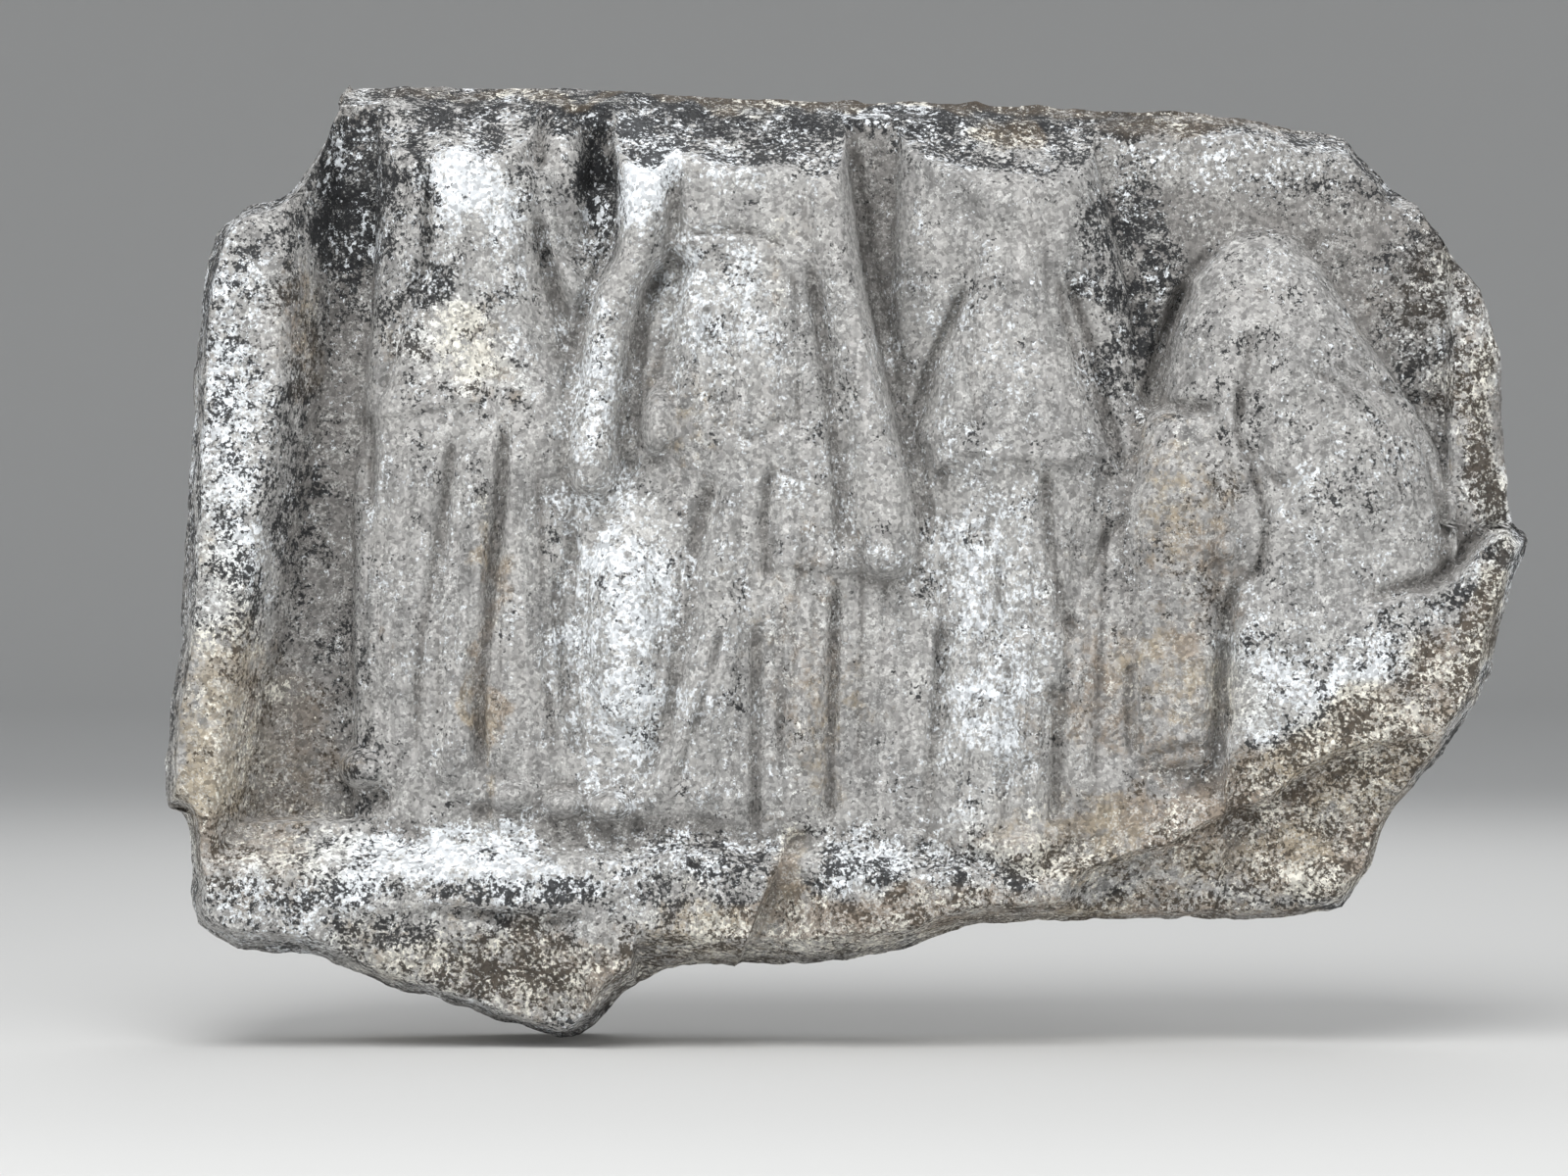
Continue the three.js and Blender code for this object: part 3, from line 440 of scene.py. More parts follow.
def carve_broken_mass(relief):
    """The rough mass at the lower right, with its ridge and the fall of its lower face."""
    x, z = relief.x, relief.z
    edge = [(170, -260), (226, -200), (296, -176), (304, -60), (314, -32), (420, -40), (460, -30), (480, -16), (508, 8),
            (544, 26)]
    fall = [(188, -248), (252, -240), (300, -208), (340, -192), (388, -160), (444, -144), (560, -120)]
    ridge = between(edge, x) + 5 * lumps(x, z, 34, 41)
    lower = between(fall, x) + 7 * lumps(x, z, 40, 43)
    below = smoothstep(0, 12, lower - z)
    front = (MASS - 18 + 0.16 * np.clip(x - 240, 0, 300) - 0.1 * np.clip(ridge - z, 0, 200)
             - (16 + 0.3 * np.clip(lower - z, 0, 60)) * below
             + 22 * bell(x - 370, 60) * bell(z + 262, 26) + 7 * rough(x, z, 70, 45, 3))
    over = smoothstep(0, 6 + 44 * smoothstep(430, 370, x), ridge - z) * smoothstep(150, 190, x)
    hollow = 9 * bell(ridge + 5 - z, 5) * smoothstep(400, 440, x)
    relief.depth = relief.depth * (1 - over) + front * over - hollow
    relief.fold([(307, -22), (303, -60), (302, -110), (299, -170)], 5, -12)
    sheltered = smoothstep(-14, 24, z + 166 - 0.74 * (x - 330))  # the upper part, which is less freshly broken
    relief.broken = np.maximum(relief.broken, over * (1 - 0.5 * sheltered))


def distance_to(line, x, z):
    """Distance from each place to the line."""
    best = np.full(x.shape, np.inf)
    for start, end in zip(line[:-1], line[1:]):
        ux, uz = end - start
        t = np.clip(((x - start[0]) * ux + (z - start[1]) * uz) / (ux * ux + uz * uz), 0, 1)
        best = np.minimum(best, np.hypot(x - start[0] - t * ux, z - start[1] - t * uz))
    return best


def carve_breaks(relief, outline):
    """The broken edge all round, which falls back towards the outline."""
    x, z = relief.x, relief.z
    rim_top = [(-420, 380), (-200, 378), (60, 369), (320, 356), (406, 338), (440, 300)]
    rim_foot = [(-560, -302), (-440, -310), (-400, -420), (-180, -420), (-172, -345), (-168, -302), (-60, -308),
                (50, -298), (120, -290), (200, -274), (430, -266)]
    down = between(rim_top, x) - z
    lid = 62 + 2.1 * np.clip(down, 0, 20) + 1.35 * np.clip(down - 20, 0, 200) + 6 * rough(x, z, 40, 3)
    corner = 126 - 0.8 * (0.72 * (x - 400) + 0.69 * (z - 250) - 62) + 5 * rough(x, z, 50, 5)
    under = 200 - 1.9 * (between(rim_foot, x) - z) + 4 * rough(x, z, 50, 7)
    relief.inside = distance_to(outline, x, z)
    edge = RIM + (BORDER - RIM) * smoothstep(-8, 26, relief.inside)
    stone = relief.depth + 2 * rough(x, z, 60, 76)
    for limit, reach in ((lid, 7), (corner, 9), (under, 4), (edge, 8)):
        stone = smooth_min(stone, limit, reach)
    relief.broken = np.maximum(relief.broken, smoothstep(2, 12, relief.depth - stone))
    relief.depth = stone - relief.gap


# ---- the grid that fills the outline ----

def on_side(side, share, axis):
    """Places at shares of the way along a side, measured along x (axis 0) or z (axis 1)."""
    here = side[0, axis] + (side[-1, axis] - side[0, axis]) * share
    other = between(side[:, (axis, 1 - axis)].tolist(), here)
    return (here, other) if axis == 0 else (other, here)


def grid_places(u, v, sides):
    """An even upright grid in the middle, which bends towards each side within a margin of it."""
    top, right, bottom, left = sides
    west, east, foot, head = FRAME

    def even(a, b):
        return west + (east - west) * a, foot + (head - foot) * b

    def pull(share):
        return np.maximum(0, 1 - share / MARGIN)

    bends = [(pull(u), on_side(left, v, 1), even(0, v)), (pull(1 - u), on_side(right, 1 - v, 1), even(1, v)),
             (pull(v), on_side(bottom, 1 - u, 0), even(u, 0)), (pull(1 - v), on_side(top, u, 0), even(u, 1)),
             (-pull(u) * pull(v), left[0], even(0, 0)), (-pull(1 - u) * pull(v), bottom[0], even(1, 0)),
             (-pull(u) * pull(1 - v), top[0], even(0, 1)), (-pull(1 - u) * pull(1 - v), right[0], even(1, 1))]
    x, z = even(u, v)
    for weight, target, start in bends:
        x = x + weight * (target[0] - start[0])
        z = z + weight * (target[1] - start[1])
    return x, z


# ---- where the finishes lie ----

# Patches of a finish: place, half width, half height and strength, on the face of the block.
PALE_PATCHES = [
    (-300, 292, 44, 38, 1.0), (-160, 290, 20, 54, 1.0), (-204, 140, 22, 100, 0.6), (-292, 200, 50, 50, 0.5),
    (-346, 230, 30, 90, 0.3), (-182, -70, 44, 120, 0.8), (-494, 90, 34, 170, 0.62), (-488, -90, 32, 140, 0.36),
    (-330, -252, 130, 22, 0.85), (-440, -262, 70, 40, 0.5), (30, -244, 70, 20, 0.5), (-100, 190, 50, 70, 0.6),
    (-310, 168, 44, 44, 0.68), (110, -80, 50, 150, 0.6), (80, 130, 60, 120, 0.25), (-20, 60, 60, 120, 0.28),
    (-110, -100, 60, 120, 0.3), (326, -90, 50, 60, 0.5), (330, 306, 120, 22, 0.45), (512, 60, 22, 170, 0.66),
    (478, 190, 40, 60, 0.4), (376, -256, 60, 16, 0.36), (130, -240, 40, 24, 0.55), (400, 30, 60, 60, 0.22),
    (524, -20, 36, 30, 0.7), (-320, 0, 60, 160, 0.15), (390, -110, 90, 50, 0.4), (-300, -330, 130, 40, 0.3),
    (-40, -318, 140, 20, 0.3), (-90, 306, 50, 26, 0.45), (-330, 340, 80, 10, 0.3), (180, 330, 140, 18, 0.38),
    (-60, 346, 200, 14, 0.3), (-392, 374, 16, 8, 0.7)]
CRUST_PATCHES = [
    (-396, 280, 34, 90, 1.0), (-438, 20, 22, 120, 0.58), (-440, 170, 34, 110, 0.52), (-300, 350, 130, 16, 0.6),
    (-200, 290, 26, 60, 0.9), (-420, -150, 20, 80, 0.4), (-460, -226, 50, 60, 0.4), (-244, 300, 20, 60, 0.6),
    (470, 200, 50, 80, 0.65), (0, 364, 430, 34, 1.0), (-484, 60, 46, 240, 0.5), (-400, -130, 34, 110, 0.5),
    (505, 90, 24, 130, 0.62), (380, 300, 60, 40, 0.4), (222, 210, 36, 120, 0.7), (-354, 244, 34, 110, 0.6),
    (-316, 130, 60, 90, 0.25), (300, 200, 60, 60, 0.15), (370, 120, 110, 150, 0.3), (240, 40, 60, 110, 0.27),
    (100, 310, 120, 30, 0.25)]
EARTH_PATCHES = [
    (-506, 60, 30, 200, 0.3), (-440, 172, 24, 56, 0.55), (-480, -170, 70, 110, 0.8), (132, 332, 22, 24, 1.0),
    (-286, -80, 9, 130, 0.8), (-310, 160, 50, 50, 0.5), (-30, -100, 46, 160, 0.5), (-50, -276, 18, 50, 1.0),
    (230, -120, 80, 80, 0.55), (270, 10, 44, 110, 0.55), (250, -80, 36, 22, 0.8), (0, 372, 430, 12, 0.7),
    (-180, -330, 260, 46, 0.62), (100, -300, 300, 26, 0.9), (290, -230, 180, 44, 1.0), (330, -196, 60, 34, 1.0),
    (390, -176, 56, 36, 1.0), (440, -140, 46, 40, 1.0), (478, -96, 40, 44, 1.0), (508, -46, 30, 44, 0.9),
    (410, -226, 90, 36, 1.0), (508, 120, 30, 160, 0.6), (-100, 110, 60, 80, 0.25), (160, -100, 46, 110, 0.35),
    (470, 200, 60, 60, 0.5), (300, 350, 120, 20, 0.7), (-60, 210, 14, 50, 0.5)]


def patches(x, z, rows):
    """The strongest of the patches at each place, softly bounded."""
    best = np.zeros(x.shape)
    x, z = x + 16 * rough(x, z, 44, 301, 3), z + 16 * rough(x, z, 44, 311, 3)
    for x0, z0, half_width, half_height, strength in rows:
        away = np.hypot((x - x0) / half_width, (z - z0) / half_height)
        best = np.maximum(best, strength * (1 - smoothstep(0.35, 1.7, away)))
    return best


# ---- the mesh of the block ----

COLUMNS, ROWS = 396, 208  # cells of the carved front
WALL_RINGS = 7  # cells from the outline to the back
BACK_COLUMNS, BACK_ROWS = 99, 52  # cells of the plain back


def deselect_all():
    """Leaves edit mode with nothing selected."""
    if bpy.context.object and bpy.context.object.mode != "OBJECT":
        bpy.ops.object.mode_set(mode="OBJECT")
    bpy.ops.object.select_all(action="DESELECT")


def add_blank(name):
    """A blank block two units wide and high: a fine grid in front, rings round its walls, a coarse grid behind."""
    upright = (math.pi / 2, 0, 0)
    deselect_all()
    bpy.ops.mesh.primitive_grid_add(x_subdivisions=COLUMNS, y_subdivisions=ROWS, size=2, rotation=upright)
    block = bpy.context.object
    block.name = block.data.name = name
    bpy.ops.object.transform_apply(location=False, rotation=True, scale=False)
    bpy.ops.object.mode_set(mode="EDIT")
    bpy.ops.mesh.select_mode(type="EDGE")
    bpy.ops.mesh.region_to_loop()
    for _ in range(WALL_RINGS):
        bpy.ops.mesh.extrude_edges_move(TRANSFORM_OT_translate={"value": (0, 1 / WALL_RINGS, 0)})
    bpy.ops.mesh.primitive_grid_add(x_subdivisions=BACK_COLUMNS, y_subdivisions=BACK_ROWS, size=2,
                                    rotation=upright, location=(0, 1 + 1 / WALL_RINGS, 0))
    bpy.ops.mesh.select_all(action="DESELECT")
    bpy.ops.mesh.select_non_manifold(use_wire=False, use_multi_face=False, use_non_contiguous=False, use_verts=False)
    bpy.ops.mesh.bridge_edge_loops()
    bpy.ops.mesh.select_all(action="SELECT")
    bpy.ops.mesh.normals_make_consistent(inside=False)
    bpy.ops.object.mode_set(mode="OBJECT")
    return block


def smooth_sides():
    """The four sides of the outline as smooth lines, clockwise from the top."""
    return [smooth_line(side) for side in (TOP_SIDE, RIGHT_SIDE, BOTTOM_SIDE, LEFT_SIDE)]


def blurred(field, reach):
    """The field smoothed over about reach cells each way."""
    width = 2 * reach + 1
    for axis in (0, 1):
        for _ in range(2):
            ends = [(0, 0), (0, 0)]
            ends[axis] = (reach + 1, reach)
            total = np.cumsum(np.pad(field, ends, mode="edge"), axis=axis)
            field = (np.take(total, range(width, total.shape[axis]), axis)
                     - np.take(total, range(total.shape[axis] - width), axis)) / width
    return field


def carve_front():
    """The finished front, at every corner of the fine grid."""
    sides = smooth_sides()
    u, v = np.meshgrid(np.linspace(0, 1, COLUMNS + 1), np.linspace(0, 1, ROWS + 1))
    relief = Relief(*grid_places(u, v, sides))
    carve_packing(relief)
    carve_first_figure(relief)
    carve_second_figure(relief)
    carve_third_figure(relief)
    carve_seated_figure(relief)
    carve_borders(relief)
    carve_base(relief)
    carve_broken_mass(relief)
    outline = np.vstack([side[1:] for side in sides])
    carve_breaks(relief, np.vstack([outline[-1:], outline]))
    return relief


def shape_block(block):
    """Moves every point of the blank to its place on the stone, and marks how each place is finished and how much
    painted shade it gets.
    """
    relief = carve_front()
    count = len(block.data.vertices)
    flat = np.empty(count * 3)
    block.data.vertices.foreach_get("co", flat)
    blank = flat.reshape(-1, 3)
    at = (np.rint((blank[:, 2] + 1) / 2 * ROWS).astype(int), np.rint((blank[:, 0] + 1) / 2 * COLUMNS).astype(int))
    x, z, depth, ring = relief.x[at], relief.z[at], relief.depth[at], blank[:, 1]
    on_back = ring > 1
    wall = np.clip(ring, 0, 1)
    chipped = 0.004 * smoothstep(28, 0, relief.inside[at]) * (1 + rough(x, z, 26, 95, 3))
    dent = 1.003 - chipped - 0.01 * wall - 0.008 * np.sin(math.pi * wall) * (1 + rough(x, z, 70, 90))
    dent = np.where(on_back, 0.98, dent)
    dressed = 2.2 + 1.3 * rough(x, z, 64, 61) + 0.9 * np.sin((x + 0.6 * z) / 7 + 2 * lumps(x, z, 90, 63))
    thickness = np.where(on_back, np.maximum(dressed, 0.2), depth * (1 - wall))
    block.data.vertices.foreach_set("co", (np.stack([x * dent, -thickness, z * dent], 1) * MM).ravel())
    block.data.update()

    on_front = ring < 0.5 / WALL_RINGS
    # painted shade: places lying below the stone around them, and the bare low ground, get the hollow amount that the
    # material paints as shadow
    near, far = (blurred(relief.depth, reach) - relief.depth for reach in (2, 9))
    ground = smoothstep(GROUND + 26, GROUND + 6, relief.depth) * (1 - relief.broken)
    deep = np.maximum(smoothstep(-2, 7, near + 0.35 * far), 0.88 * ground)
    soil = 0.5 + 0.25 * rough(x, z, 120, 65)
    # each finish on the front, on the back and on the sides, with the painted shade of the grooves and the low ground
    amounts = {"pale": (patches(x, z, PALE_PATCHES), 0.1, 0.25), "crust": (patches(x, z, CRUST_PATCHES), 0.0, 0.2),
               "earth": (patches(x, z, EARTH_PATCHES), soil, soil), "broken": (relief.broken[at], 0.1, 0.7),
               "hollow": (deep[at], 0.25, 0.25)}
    finishes_and_shade = {name: np.where(on_front, front, np.where(on_back, back, side))
                for name, (front, back, side) in amounts.items()}
    for name, amount in finishes_and_shade.items():
        block.data.attributes.new(name, "FLOAT", "POINT").data.foreach_set("value", np.clip(amount, 0, 1))
    return finishes_and_shade


def group_points(block, name, amount):
    """A vertex group with ten steps of weight."""
    group = block.vertex_groups.new(name=name)
    steps = np.rint(np.clip(amount, 0, 1) * 10).astype(int)
    for step in range(1, 11):
        group.add(np.flatnonzero(steps == step).tolist(), step / 10, "REPLACE")


def roughen(block, label, size, strength, group=""):
    """Pits the surface inwards with a cloudy pattern."""
    texture = bpy.data.textures.new(label, "CLOUDS")
    texture.noise_scale = size
    texture.noise_depth = 2
    texture.noise_basis = "ORIGINAL_PERLIN"
    displace = block.modifiers.new(label, "DISPLACE")
    displace.texture = texture
    displace.texture_coords = "LOCAL"
    displace.mid_level = 1.0
    displace.strength = strength
    displace.vertex_group = group
    bpy.ops.object.modifier_apply(modifier=displace.name)


# ---- materials ----

class Wiring:
    """Adds nodes to a node tree and joins them."""

    def __init__(self, tree):
        self.tree = tree

    def join(self, socket, value):
        """Gives a socket another node's output, or a plain value."""
        if isinstance(value, bpy.types.NodeSocket):
            self.tree.links.new(value, socket)
        elif value is not None:
            socket.default_value = value

    def add(self, kind, *inputs, out=0, sockets=None, **settings):
        """Adds a node with its inputs in order, then those named in sockets. Returns one of its outputs."""
        node = self.tree.nodes.new("ShaderNode" + kind)
        for key, value in settings.items():
            setattr(node, key, value)
        for place, value in list(enumerate(inputs)) + list((sockets or {}).items()):
            self.join(node.inputs[place], value)
        return node.outputs[out]

    def math(self, operation, *values):
        """A number worked out from others."""
        return self.add("Math", *values, operation=operation)

    def ramp(self, value, low, high):
        """0 below low, 1 above high and smooth between them."""
        return self.add("MapRange", value, low, high, interpolation_type="SMOOTHSTEP")

    def noise(self, vector, scale, detail=3, roughness=0.6):
        """Cloudy values about 0.5."""
        return self.add("TexNoise", vector, sockets={"Scale": scale, "Detail": detail, "Roughness": roughness})

    def attribute(self, name):
        """One of the amounts written on the stone's points."""
        return self.add("Attribute", out=2, attribute_name=name)

    def mix(self, share, first, second, blend="MIX"):
        """A colour between two others."""
        node = self.tree.nodes.new("ShaderNodeMix")
        node.data_type = "RGBA"
        node.blend_type = blend
        for place, value in ((0, share), (6, first), (7, second)):
            self.join(node.inputs[place], value)
        return node.outputs[2]


def node_group(name, inputs, outputs):
    """An empty shader node group with its sockets. Returns its wiring, its inputs and its output node."""
    group = bpy.data.node_groups.new(name, "ShaderNodeTree")
    for socket_name, kind, default in inputs:
        socket = group.interface.new_socket(name=socket_name, in_out="INPUT", socket_type="NodeSocket" + kind)
        if default is not None:
            socket.default_value = default
    for socket_name in outputs:
        group.interface.new_socket(name=socket_name, in_out="OUTPUT", socket_type="NodeSocketFloat")
    return Wiring(group), group.nodes.new("NodeGroupInput").outputs, group.nodes.new("NodeGroupOutput").inputs


def flecks_group():
    """Ragged flecks that gather into patches where their amount is high."""
    wiring, given, result = node_group("Ragged flecks", [("Vector", "Vector", None), ("Amount", "Float", 0.5),
                                                         ("Scale", "Float", 200.0), ("Edge", "Float", 0.03)], ["Mask"])
    fine = wiring.noise(given["Vector"], given["Scale"], 4, 0.7)
    broad = wiring.noise(given["Vector"], wiring.math("MULTIPLY", given["Scale"], 0.13), 4, 0.65)
    level = wiring.math("ADD", wiring.math("MULTIPLY", fine, 0.6), wiring.math("MULTIPLY", broad, 0.4))
    limit = wiring.math("MULTIPLY_ADD", given["Amount"], -0.3, 0.68)
    low = wiring.math("SUBTRACT", limit, given["Edge"])
    high = wiring.math("ADD", limit, given["Edge"])
    wiring.join(result["Mask"], wiring.ramp(level, low, high))
    return wiring.tree


def crystals_group():
    """Packed crystals, each a little lighter or darker, with the height of their facets."""
    wiring, given, result = node_group("Crystals", [("Vector", "Vector", None), ("Scale", "Float", 300.0)],
                                       ["Tone", "Height"])
    wander = wiring.add("TexNoise", given["Vector"], out=1, sockets={"Scale": 160.0, "Detail": 2.0})
    shifted = wiring.add("VectorMath", wander, (0.004, 0.004, 0.004), given["Vector"], operation="MULTIPLY_ADD")
    cells = wiring.add("TexVoronoi", shifted, out=1, sockets={"Scale": given["Scale"]})
    away = wiring.add("TexVoronoi", shifted, sockets={"Scale": given["Scale"]})
    tone = wiring.add("SeparateColor", cells)
    wiring.join(result["Tone"], tone)
    wiring.join(result["Height"], wiring.math("MULTIPLY_ADD", away, -0.6, tone))
    return wiring.tree


def use_group(wiring, tree, out, **inputs):
    """Places a node group with its own values."""
    node = wiring.tree.nodes.new("ShaderNodeGroup")
    node.node_tree = tree
    for name, value in inputs.items():
        wiring.join(node.inputs[name], value)
    return node.outputs[out]


def stone_material(colours):
    """Weathered marble: grey drapery, pale lichen, black crust and brown earth, over packed crystals."""
    material = bpy.data.materials.new("Weathered marble")
    material.use_nodes = True
    wiring = Wiring(material.node_tree)
    surface = material.node_tree.nodes["Principled BSDF"]
    flecks, crystals = flecks_group(), crystals_group()
    place = wiring.add("TexCoord", out=3)
    pale, crust, earth, broken, hollow = (wiring.attribute(name)
                                          for name in ("pale", "crust", "earth", "broken", "hollow"))

    def spots(amount, scale, edge, vector=place):
        return use_group(wiring, flecks, "Mask", Vector=vector, Amount=amount, Scale=scale, Edge=edge)

    def lay(under, over, mask, strength):
        return wiring.mix(wiring.math("MULTIPLY", mask, strength), under, over)

    def chosen(name):
        return (*getattr(colours, name), 1)

    grain = use_group(wiring, crystals, "Tone", Vector=place, Scale=330.0)
    facets = use_group(wiring, crystals, "Height", Vector=place, Scale=330.0)
    drawn_out = wiring.add("Mapping", place, sockets={"Scale": (1.0, 1.0, 0.16)})
    streaks = wiring.noise(drawn_out, 110.0, 4.0, 0.65)
    cloud = wiring.noise(place, 16.0, 5.0, 0.6)
    tint = wiring.noise(place, 7.0, 4.0, 0.6)
    elsewhere = wiring.add("Mapping", place, (0.31, 0.17, 0.23))

    # how much of each kind of fleck there is
    weathered = wiring.math("MAXIMUM", crust, broken)
    lit = wiring.math("MULTIPLY_ADD", pale, 0.46, wiring.math("MULTIPLY_ADD", weathered, 0.17, 0.26))
    lit = wiring.math("MULTIPLY_ADD", crust, -0.14, lit)
    dark = wiring.math("MULTIPLY_ADD", weathered, 0.26, 0.26)
    dark = wiring.math("MULTIPLY_ADD", pale, 0.12, wiring.math("MULTIPLY_ADD", crust, 0.12, dark))
    lichen = spots(lit, 250.0, 0.01, elsewhere)
    clumps = spots(wiring.math("MULTIPLY", pale, 0.82), 90.0, 0.015, elsewhere)
    salt = spots(wiring.math("MULTIPLY_ADD", broken, 0.1, 0.42), 520.0, 0.03)
    bright = wiring.mix(wiring.ramp(wiring.math("ADD", earth, tint), 0.7, 1.1), chosen("lichen"), chosen("cream"))
    black = wiring.mix(wiring.ramp(earth, 0.3, 0.7), chosen("crust"), chosen("dark_earth"))
    ochre = wiring.mix(wiring.ramp(tint, 0.45, 0.6), chosen("earth"), chosen("ochre"))

    # the layers, from the bare stone outwards
    colour = wiring.mix(wiring.ramp(cloud, 0.36, 0.66), chosen("shade"), chosen("stone"))
    colour = wiring.mix(wiring.ramp(streaks, 0.42, 0.7), colour, chosen("streak"))
    colour = lay(colour, ochre, spots(earth, 90.0, 0.09), 0.85)
    # painted shade: the grooves and the low ground are darkened towards the hollow colour as if in shadow
    colour = lay(colour, chosen("hollow"), wiring.ramp(hollow, 0.25, 1.0), 0.62)
    colour = lay(colour, chosen("salt"), pale, 0.35)
    colour = lay(colour, black, spots(wiring.math("MULTIPLY", crust, 0.88), 110.0, 0.02), 0.92)
    colour = lay(colour, chosen("salt"), salt, 0.5)
    colour = lay(colour, bright, clumps, 0.85)
    colour = lay(colour, bright, lichen, 0.9)
    colour = lay(colour, black, spots(dark, 280.0, 0.01), 0.94)
    colour = lay(colour, bright, spots(wiring.math("MULTIPLY", crust, 0.42), 150.0, 0.01), 0.9)
    toned = wiring.add("HueSaturation", sockets={"Color": colour,
                       "Value": wiring.add("MapRange", grain, 0.0, 1.0, 0.6, 1.4)})
    wiring.join(surface.inputs["Base Color"], toned)
    wiring.join(surface.inputs["Roughness"], wiring.add("MapRange", grain, 0.0, 1.0, 0.7, 0.95))
    surface.inputs["Specular IOR Level"].default_value = 0.3

    pits = wiring.noise(place, 420.0, 3.0, 0.7)
    height = wiring.math("ADD", wiring.math("MULTIPLY", facets, 0.5), pits)
    height = wiring.math("ADD", height, wiring.math("MULTIPLY", wiring.math("MAXIMUM", lichen, clumps), 0.5))
    bump = wiring.add("Bump", sockets={"Strength": 0.6, "Distance": 0.0012, "Height": height})
    wiring.join(surface.inputs["Normal"], bump)
    return material


# ---- what a user may change ----

def colour_choice(name, description, default):
    """A colour to choose."""
    return bpy.props.FloatVectorProperty(name=name, description=description, subtype="COLOR", size=3, min=0, max=1,
                                         default=default)


class StoneShape(bpy.types.PropertyGroup):
    """How rough the block is."""

    break_roughness: bpy.props.FloatProperty(
        name="Break roughness", description="How deep the broken faces are pitted", default=0.005, min=0,
        unit="LENGTH")
    worn_roughness: bpy.props.FloatProperty(
        name="Worn roughness", description="How uneven the worn carving is", default=0.0016, min=0, unit="LENGTH")
    grit: bpy.props.FloatProperty(
        name="Grit", description="How deep the finest pits are", default=0.0007, min=0, unit="LENGTH")


class StoneColours(bpy.types.PropertyGroup):
    """The colours of the stone, of what has settled on it, and of the shade painted into its hollows."""

    stone: colour_choice("Stone", "The worn grey of the drapery", (0.385, 0.377, 0.365))
    shade: colour_choice("Shade", "The darker clouds in the stone", (0.25, 0.247, 0.242))
    streak: colour_choice("Streak", "Fine pale streaks that run downwards", (0.43, 0.42, 0.41))
    salt: colour_choice("Salt", "Bare bright crystals", (0.7, 0.7, 0.68))
    lichen: colour_choice("Lichen", "Pale bluish crusts on the upper parts and ledges", (0.8, 0.83, 0.86))
    cream: colour_choice("Cream", "Warmer pale crusts", (0.76, 0.735, 0.66))
    crust: colour_choice("Crust", "Black crust", (0.022, 0.023, 0.025))
    earth: colour_choice("Earth", "Brown earth stain", (0.27, 0.218, 0.168))
    dark_earth: colour_choice("Dark earth", "Dark specks where the stone is brown", (0.075, 0.06, 0.045))
    ochre: colour_choice("Ochre", "Yellower stain", (0.37, 0.31, 0.22))
    # painted shade: the colour painted into the grooves and onto the low ground where shadow falls
    hollow: colour_choice("Hollow", "Painted shade in the deep grooves and on the low ground", (0.15, 0.14, 0.13))


class StageSettings(bpy.types.PropertyGroup):
    """The floor, the lamps and the camera."""

    floor: colour_choice("Floor", "The pale floor and surround", (0.7, 0.7, 0.69))
    key_power: bpy.props.FloatProperty(
        name="Key lamp", description="Power of the large lamp above the front", default=122, min=0, unit="POWER")
    fill_power: bpy.props.FloatProperty(
        name="Fill lamps", description="Power of each lamp at the sides", default=36, min=0, unit="POWER")
    distance: bpy.props.FloatProperty(
        name="Camera distance", description="From the camera to the back of the block", default=4.33, min=0.5,
        unit="LENGTH")


class RELIEF_OT_carve_block(bpy.types.Operator):
    """Carves the block with its four figures, borders, ledge and breaks"""

    bl_idname = "relief.carve_block"
    bl_label = "Carve block"

    def execute(self, context):
        shape = context.scene.relief_shape
        block = add_blank("carved_block")
        finishes_and_shade = shape_block(block)
        group_points(block, "broken", finishes_and_shade["broken"])
        roughen(block, "Broken faces", 0.022, shape.break_roughness, "broken")
        roughen(block, "Worn carving", 0.012, shape.worn_roughness)
        roughen(block, "Grit", 0.005, shape.grit)
        bpy.ops.object.shade_smooth()
        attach(block, "root")
        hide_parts(NODE)
        return {"FINISHED"}


class RELIEF_OT_dress_stone(bpy.types.Operator):
    """Gives the block its weathered marble"""

    bl_idname = "relief.dress_stone"
    bl_label = "Dress stone"

    def execute(self, context):
        block = bpy.data.objects["carved_block"]
        block.data.materials.clear()
        block.data.materials.append(stone_material(context.scene.relief_colours))
        return {"FINISHED"}


def add_surround(settings):
    """A seamless pale floor that curves up into a wall all round."""
    low = CAD_BOX[0].z - 0.002
    radius, curve, height, steps = 12.0, 4.0, 8.0, 10
    deselect_all()
    bpy.ops.mesh.primitive_circle_add(vertices=96, radius=radius, fill_type="NGON", location=(0, 0, low))
    surround = bpy.context.object
    surround.name = surround.data.name = "Surround"
    bpy.ops.object.mode_set(mode="EDIT")
    bpy.ops.mesh.select_mode(type="EDGE")
    bpy.ops.mesh.region_to_loop()
    wide, high = radius, 0.0
    for step in range(1, steps + 2):
        angle = min(step, steps) / steps * math.pi / 2
        to_wide = radius + curve * math.sin(angle)
        to_high = curve * (1 - math.cos(angle)) + (height if step > steps else 0)
        bpy.ops.mesh.extrude_edges_move(TRANSFORM_OT_translate={"value": (0, 0, to_high - high)})
        grow = to_wide / wide
        bpy.ops.transform.resize(value=(grow, grow, 1), center_override=(0, 0, 0))
        wide, high = to_wide, to_high
    bpy.ops.mesh.select_all(action="SELECT")
    bpy.ops.mesh.normals_make_consistent(inside=True)
    bpy.ops.object.mode_set(mode="OBJECT")
    bpy.ops.object.transform_apply(location=True, rotation=False, scale=False)
    bpy.ops.object.shade_smooth()
    material = bpy.data.materials.new("Pale surround")
    material.use_nodes = True
    paper = material.node_tree.nodes["Principled BSDF"]
    paper.inputs["Base Color"].default_value = (*settings.floor, 1)
    paper.inputs["Roughness"].default_value = 0.9
    paper.inputs["Specular IOR Level"].default_value = 0.1
    surround.data.materials.append(material)


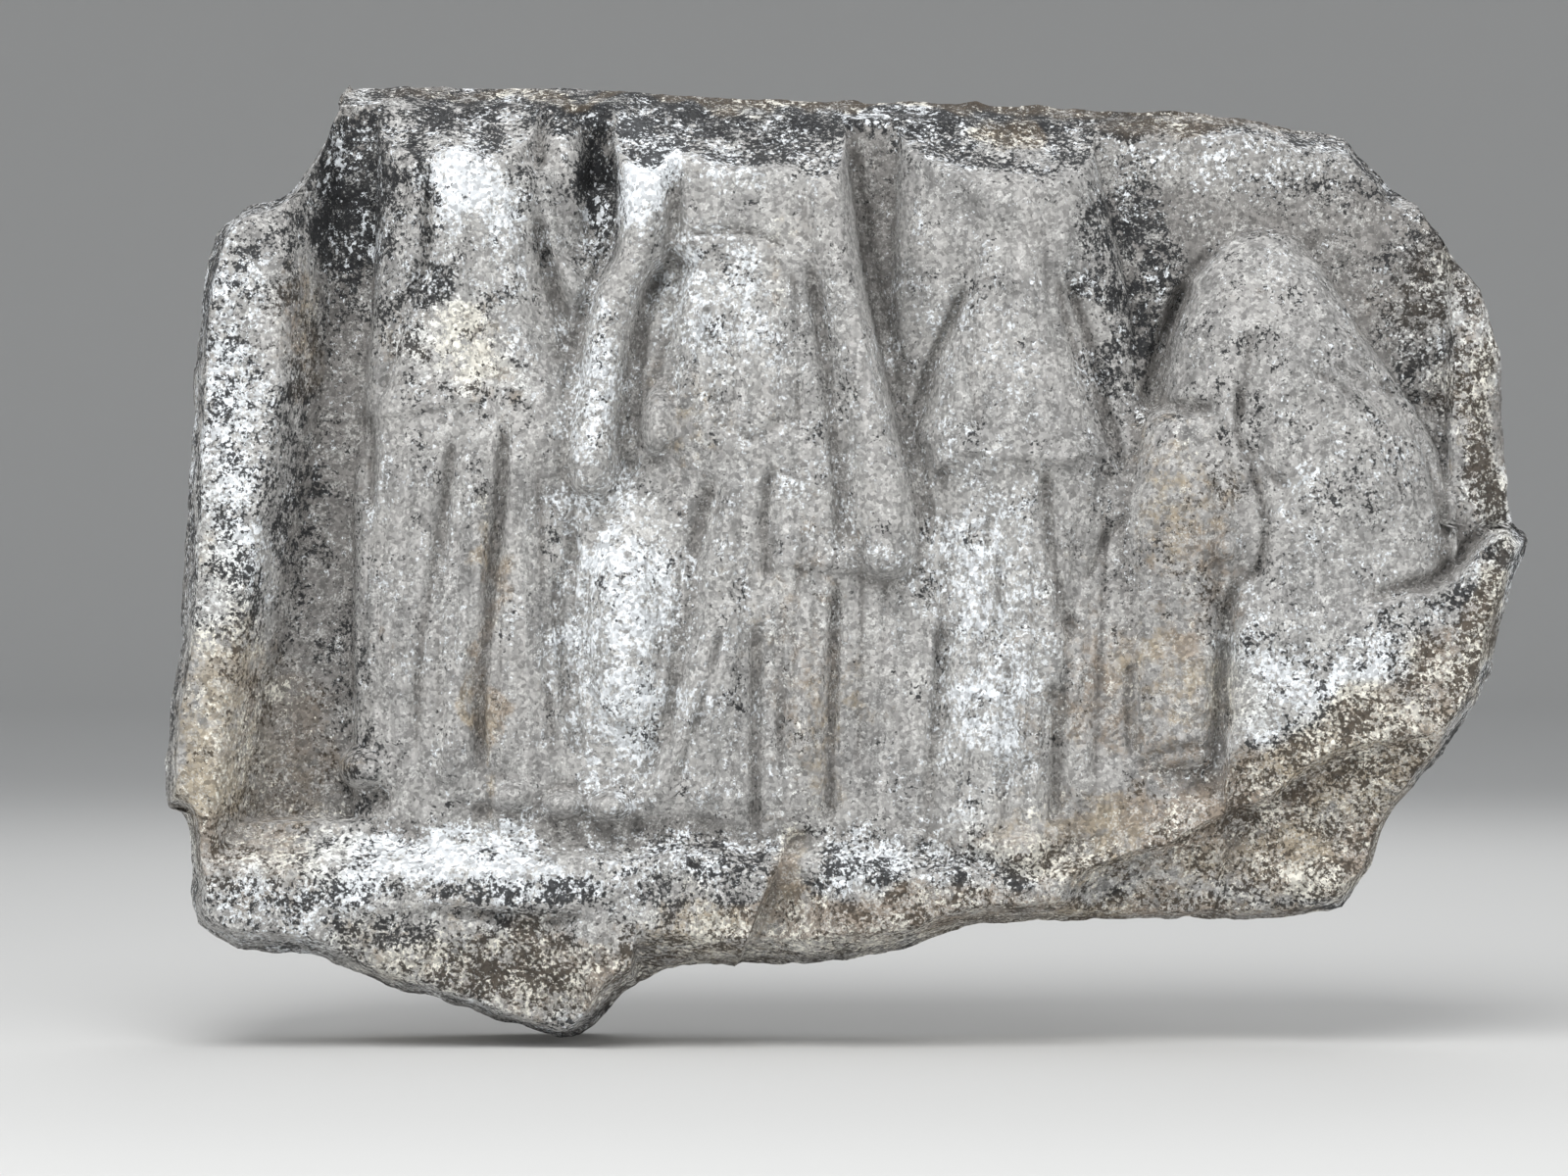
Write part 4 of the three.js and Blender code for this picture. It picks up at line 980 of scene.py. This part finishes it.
def add_lamp(name, place, size, power):
    """A large soft lamp that faces the block."""
    bpy.ops.object.light_add(type="AREA", location=place)
    lamp = bpy.context.object
    lamp.name = name
    lamp.data.shape = "DISK"
    lamp.data.size = size
    lamp.data.energy = power
    lamp.rotation_euler = (-lamp.location).to_track_quat("-Z", "Y").to_euler()


class RELIEF_OT_set_stage(bpy.types.Operator):
    """Sets the floor, the soft lamps and the camera"""

    bl_idname = "relief.set_stage"
    bl_label = "Set stage"

    def execute(self, context):
        settings = context.scene.relief_stage
        add_surround(settings)
        add_lamp("Key", (-0.5, -2.6, 3.2), 3.0, settings.key_power)
        add_lamp("Left fill", (-3.0, -2.4, 0.8), 2.5, settings.fill_power)
        add_lamp("Right fill", (3.0, -2.4, 0.8), 2.5, settings.fill_power)
        add_lamp("Back fill", (0.5, 3.0, 2.6), 2.5, settings.fill_power)
        world = bpy.data.worlds.new("Soft daylight")
        world.use_nodes = True
        world.node_tree.nodes["Background"].inputs["Color"].default_value = (0.9, 0.92, 0.95, 1)
        world.node_tree.nodes["Background"].inputs["Strength"].default_value = 0.5
        context.scene.world = world
        context.scene.view_settings.view_transform = "Standard"
        bpy.ops.object.camera_add(location=(-0.052, -settings.distance, -0.032), rotation=(math.pi / 2, 0, 0))
        camera = context.object
        camera.name = "Camera"
        camera.data.lens = 120
        camera.data.clip_end = 50
        context.scene.camera = camera
        return {"FINISHED"}


OPERATORS = (RELIEF_OT_carve_block, RELIEF_OT_dress_stone, RELIEF_OT_set_stage)
GROUPS = {"relief_shape": StoneShape, "relief_colours": StoneColours, "relief_stage": StageSettings}


class RELIEF_PT_panel(bpy.types.Panel):
    """Lists the steps and what may be changed before each."""

    bl_label = "Stone relief panel"
    bl_idname = "RELIEF_PT_panel"
    bl_space_type = "VIEW_3D"
    bl_region_type = "UI"
    bl_category = "Relief"

    def draw(self, context):
        for operator, (name, group) in zip(OPERATORS, GROUPS.items()):
            box = self.layout.box()
            for key in group.__annotations__:
                box.prop(getattr(context.scene, name), key)
            box.operator(operator.bl_idname)


def register():
    for cls in (*GROUPS.values(), *OPERATORS, RELIEF_PT_panel):
        bpy.utils.register_class(cls)
    for name, group in GROUPS.items():
        setattr(bpy.types.Scene, name, bpy.props.PointerProperty(type=group))


def unregister():
    for name in GROUPS:
        delattr(bpy.types.Scene, name)
    for cls in (RELIEF_PT_panel, *OPERATORS, *GROUPS.values()):
        bpy.utils.unregister_class(cls)


def main():
    register()
    bpy.ops.relief.carve_block()
    bpy.ops.relief.dress_stone()
    bpy.ops.relief.set_stage()


if __name__ == "__main__":
    main()
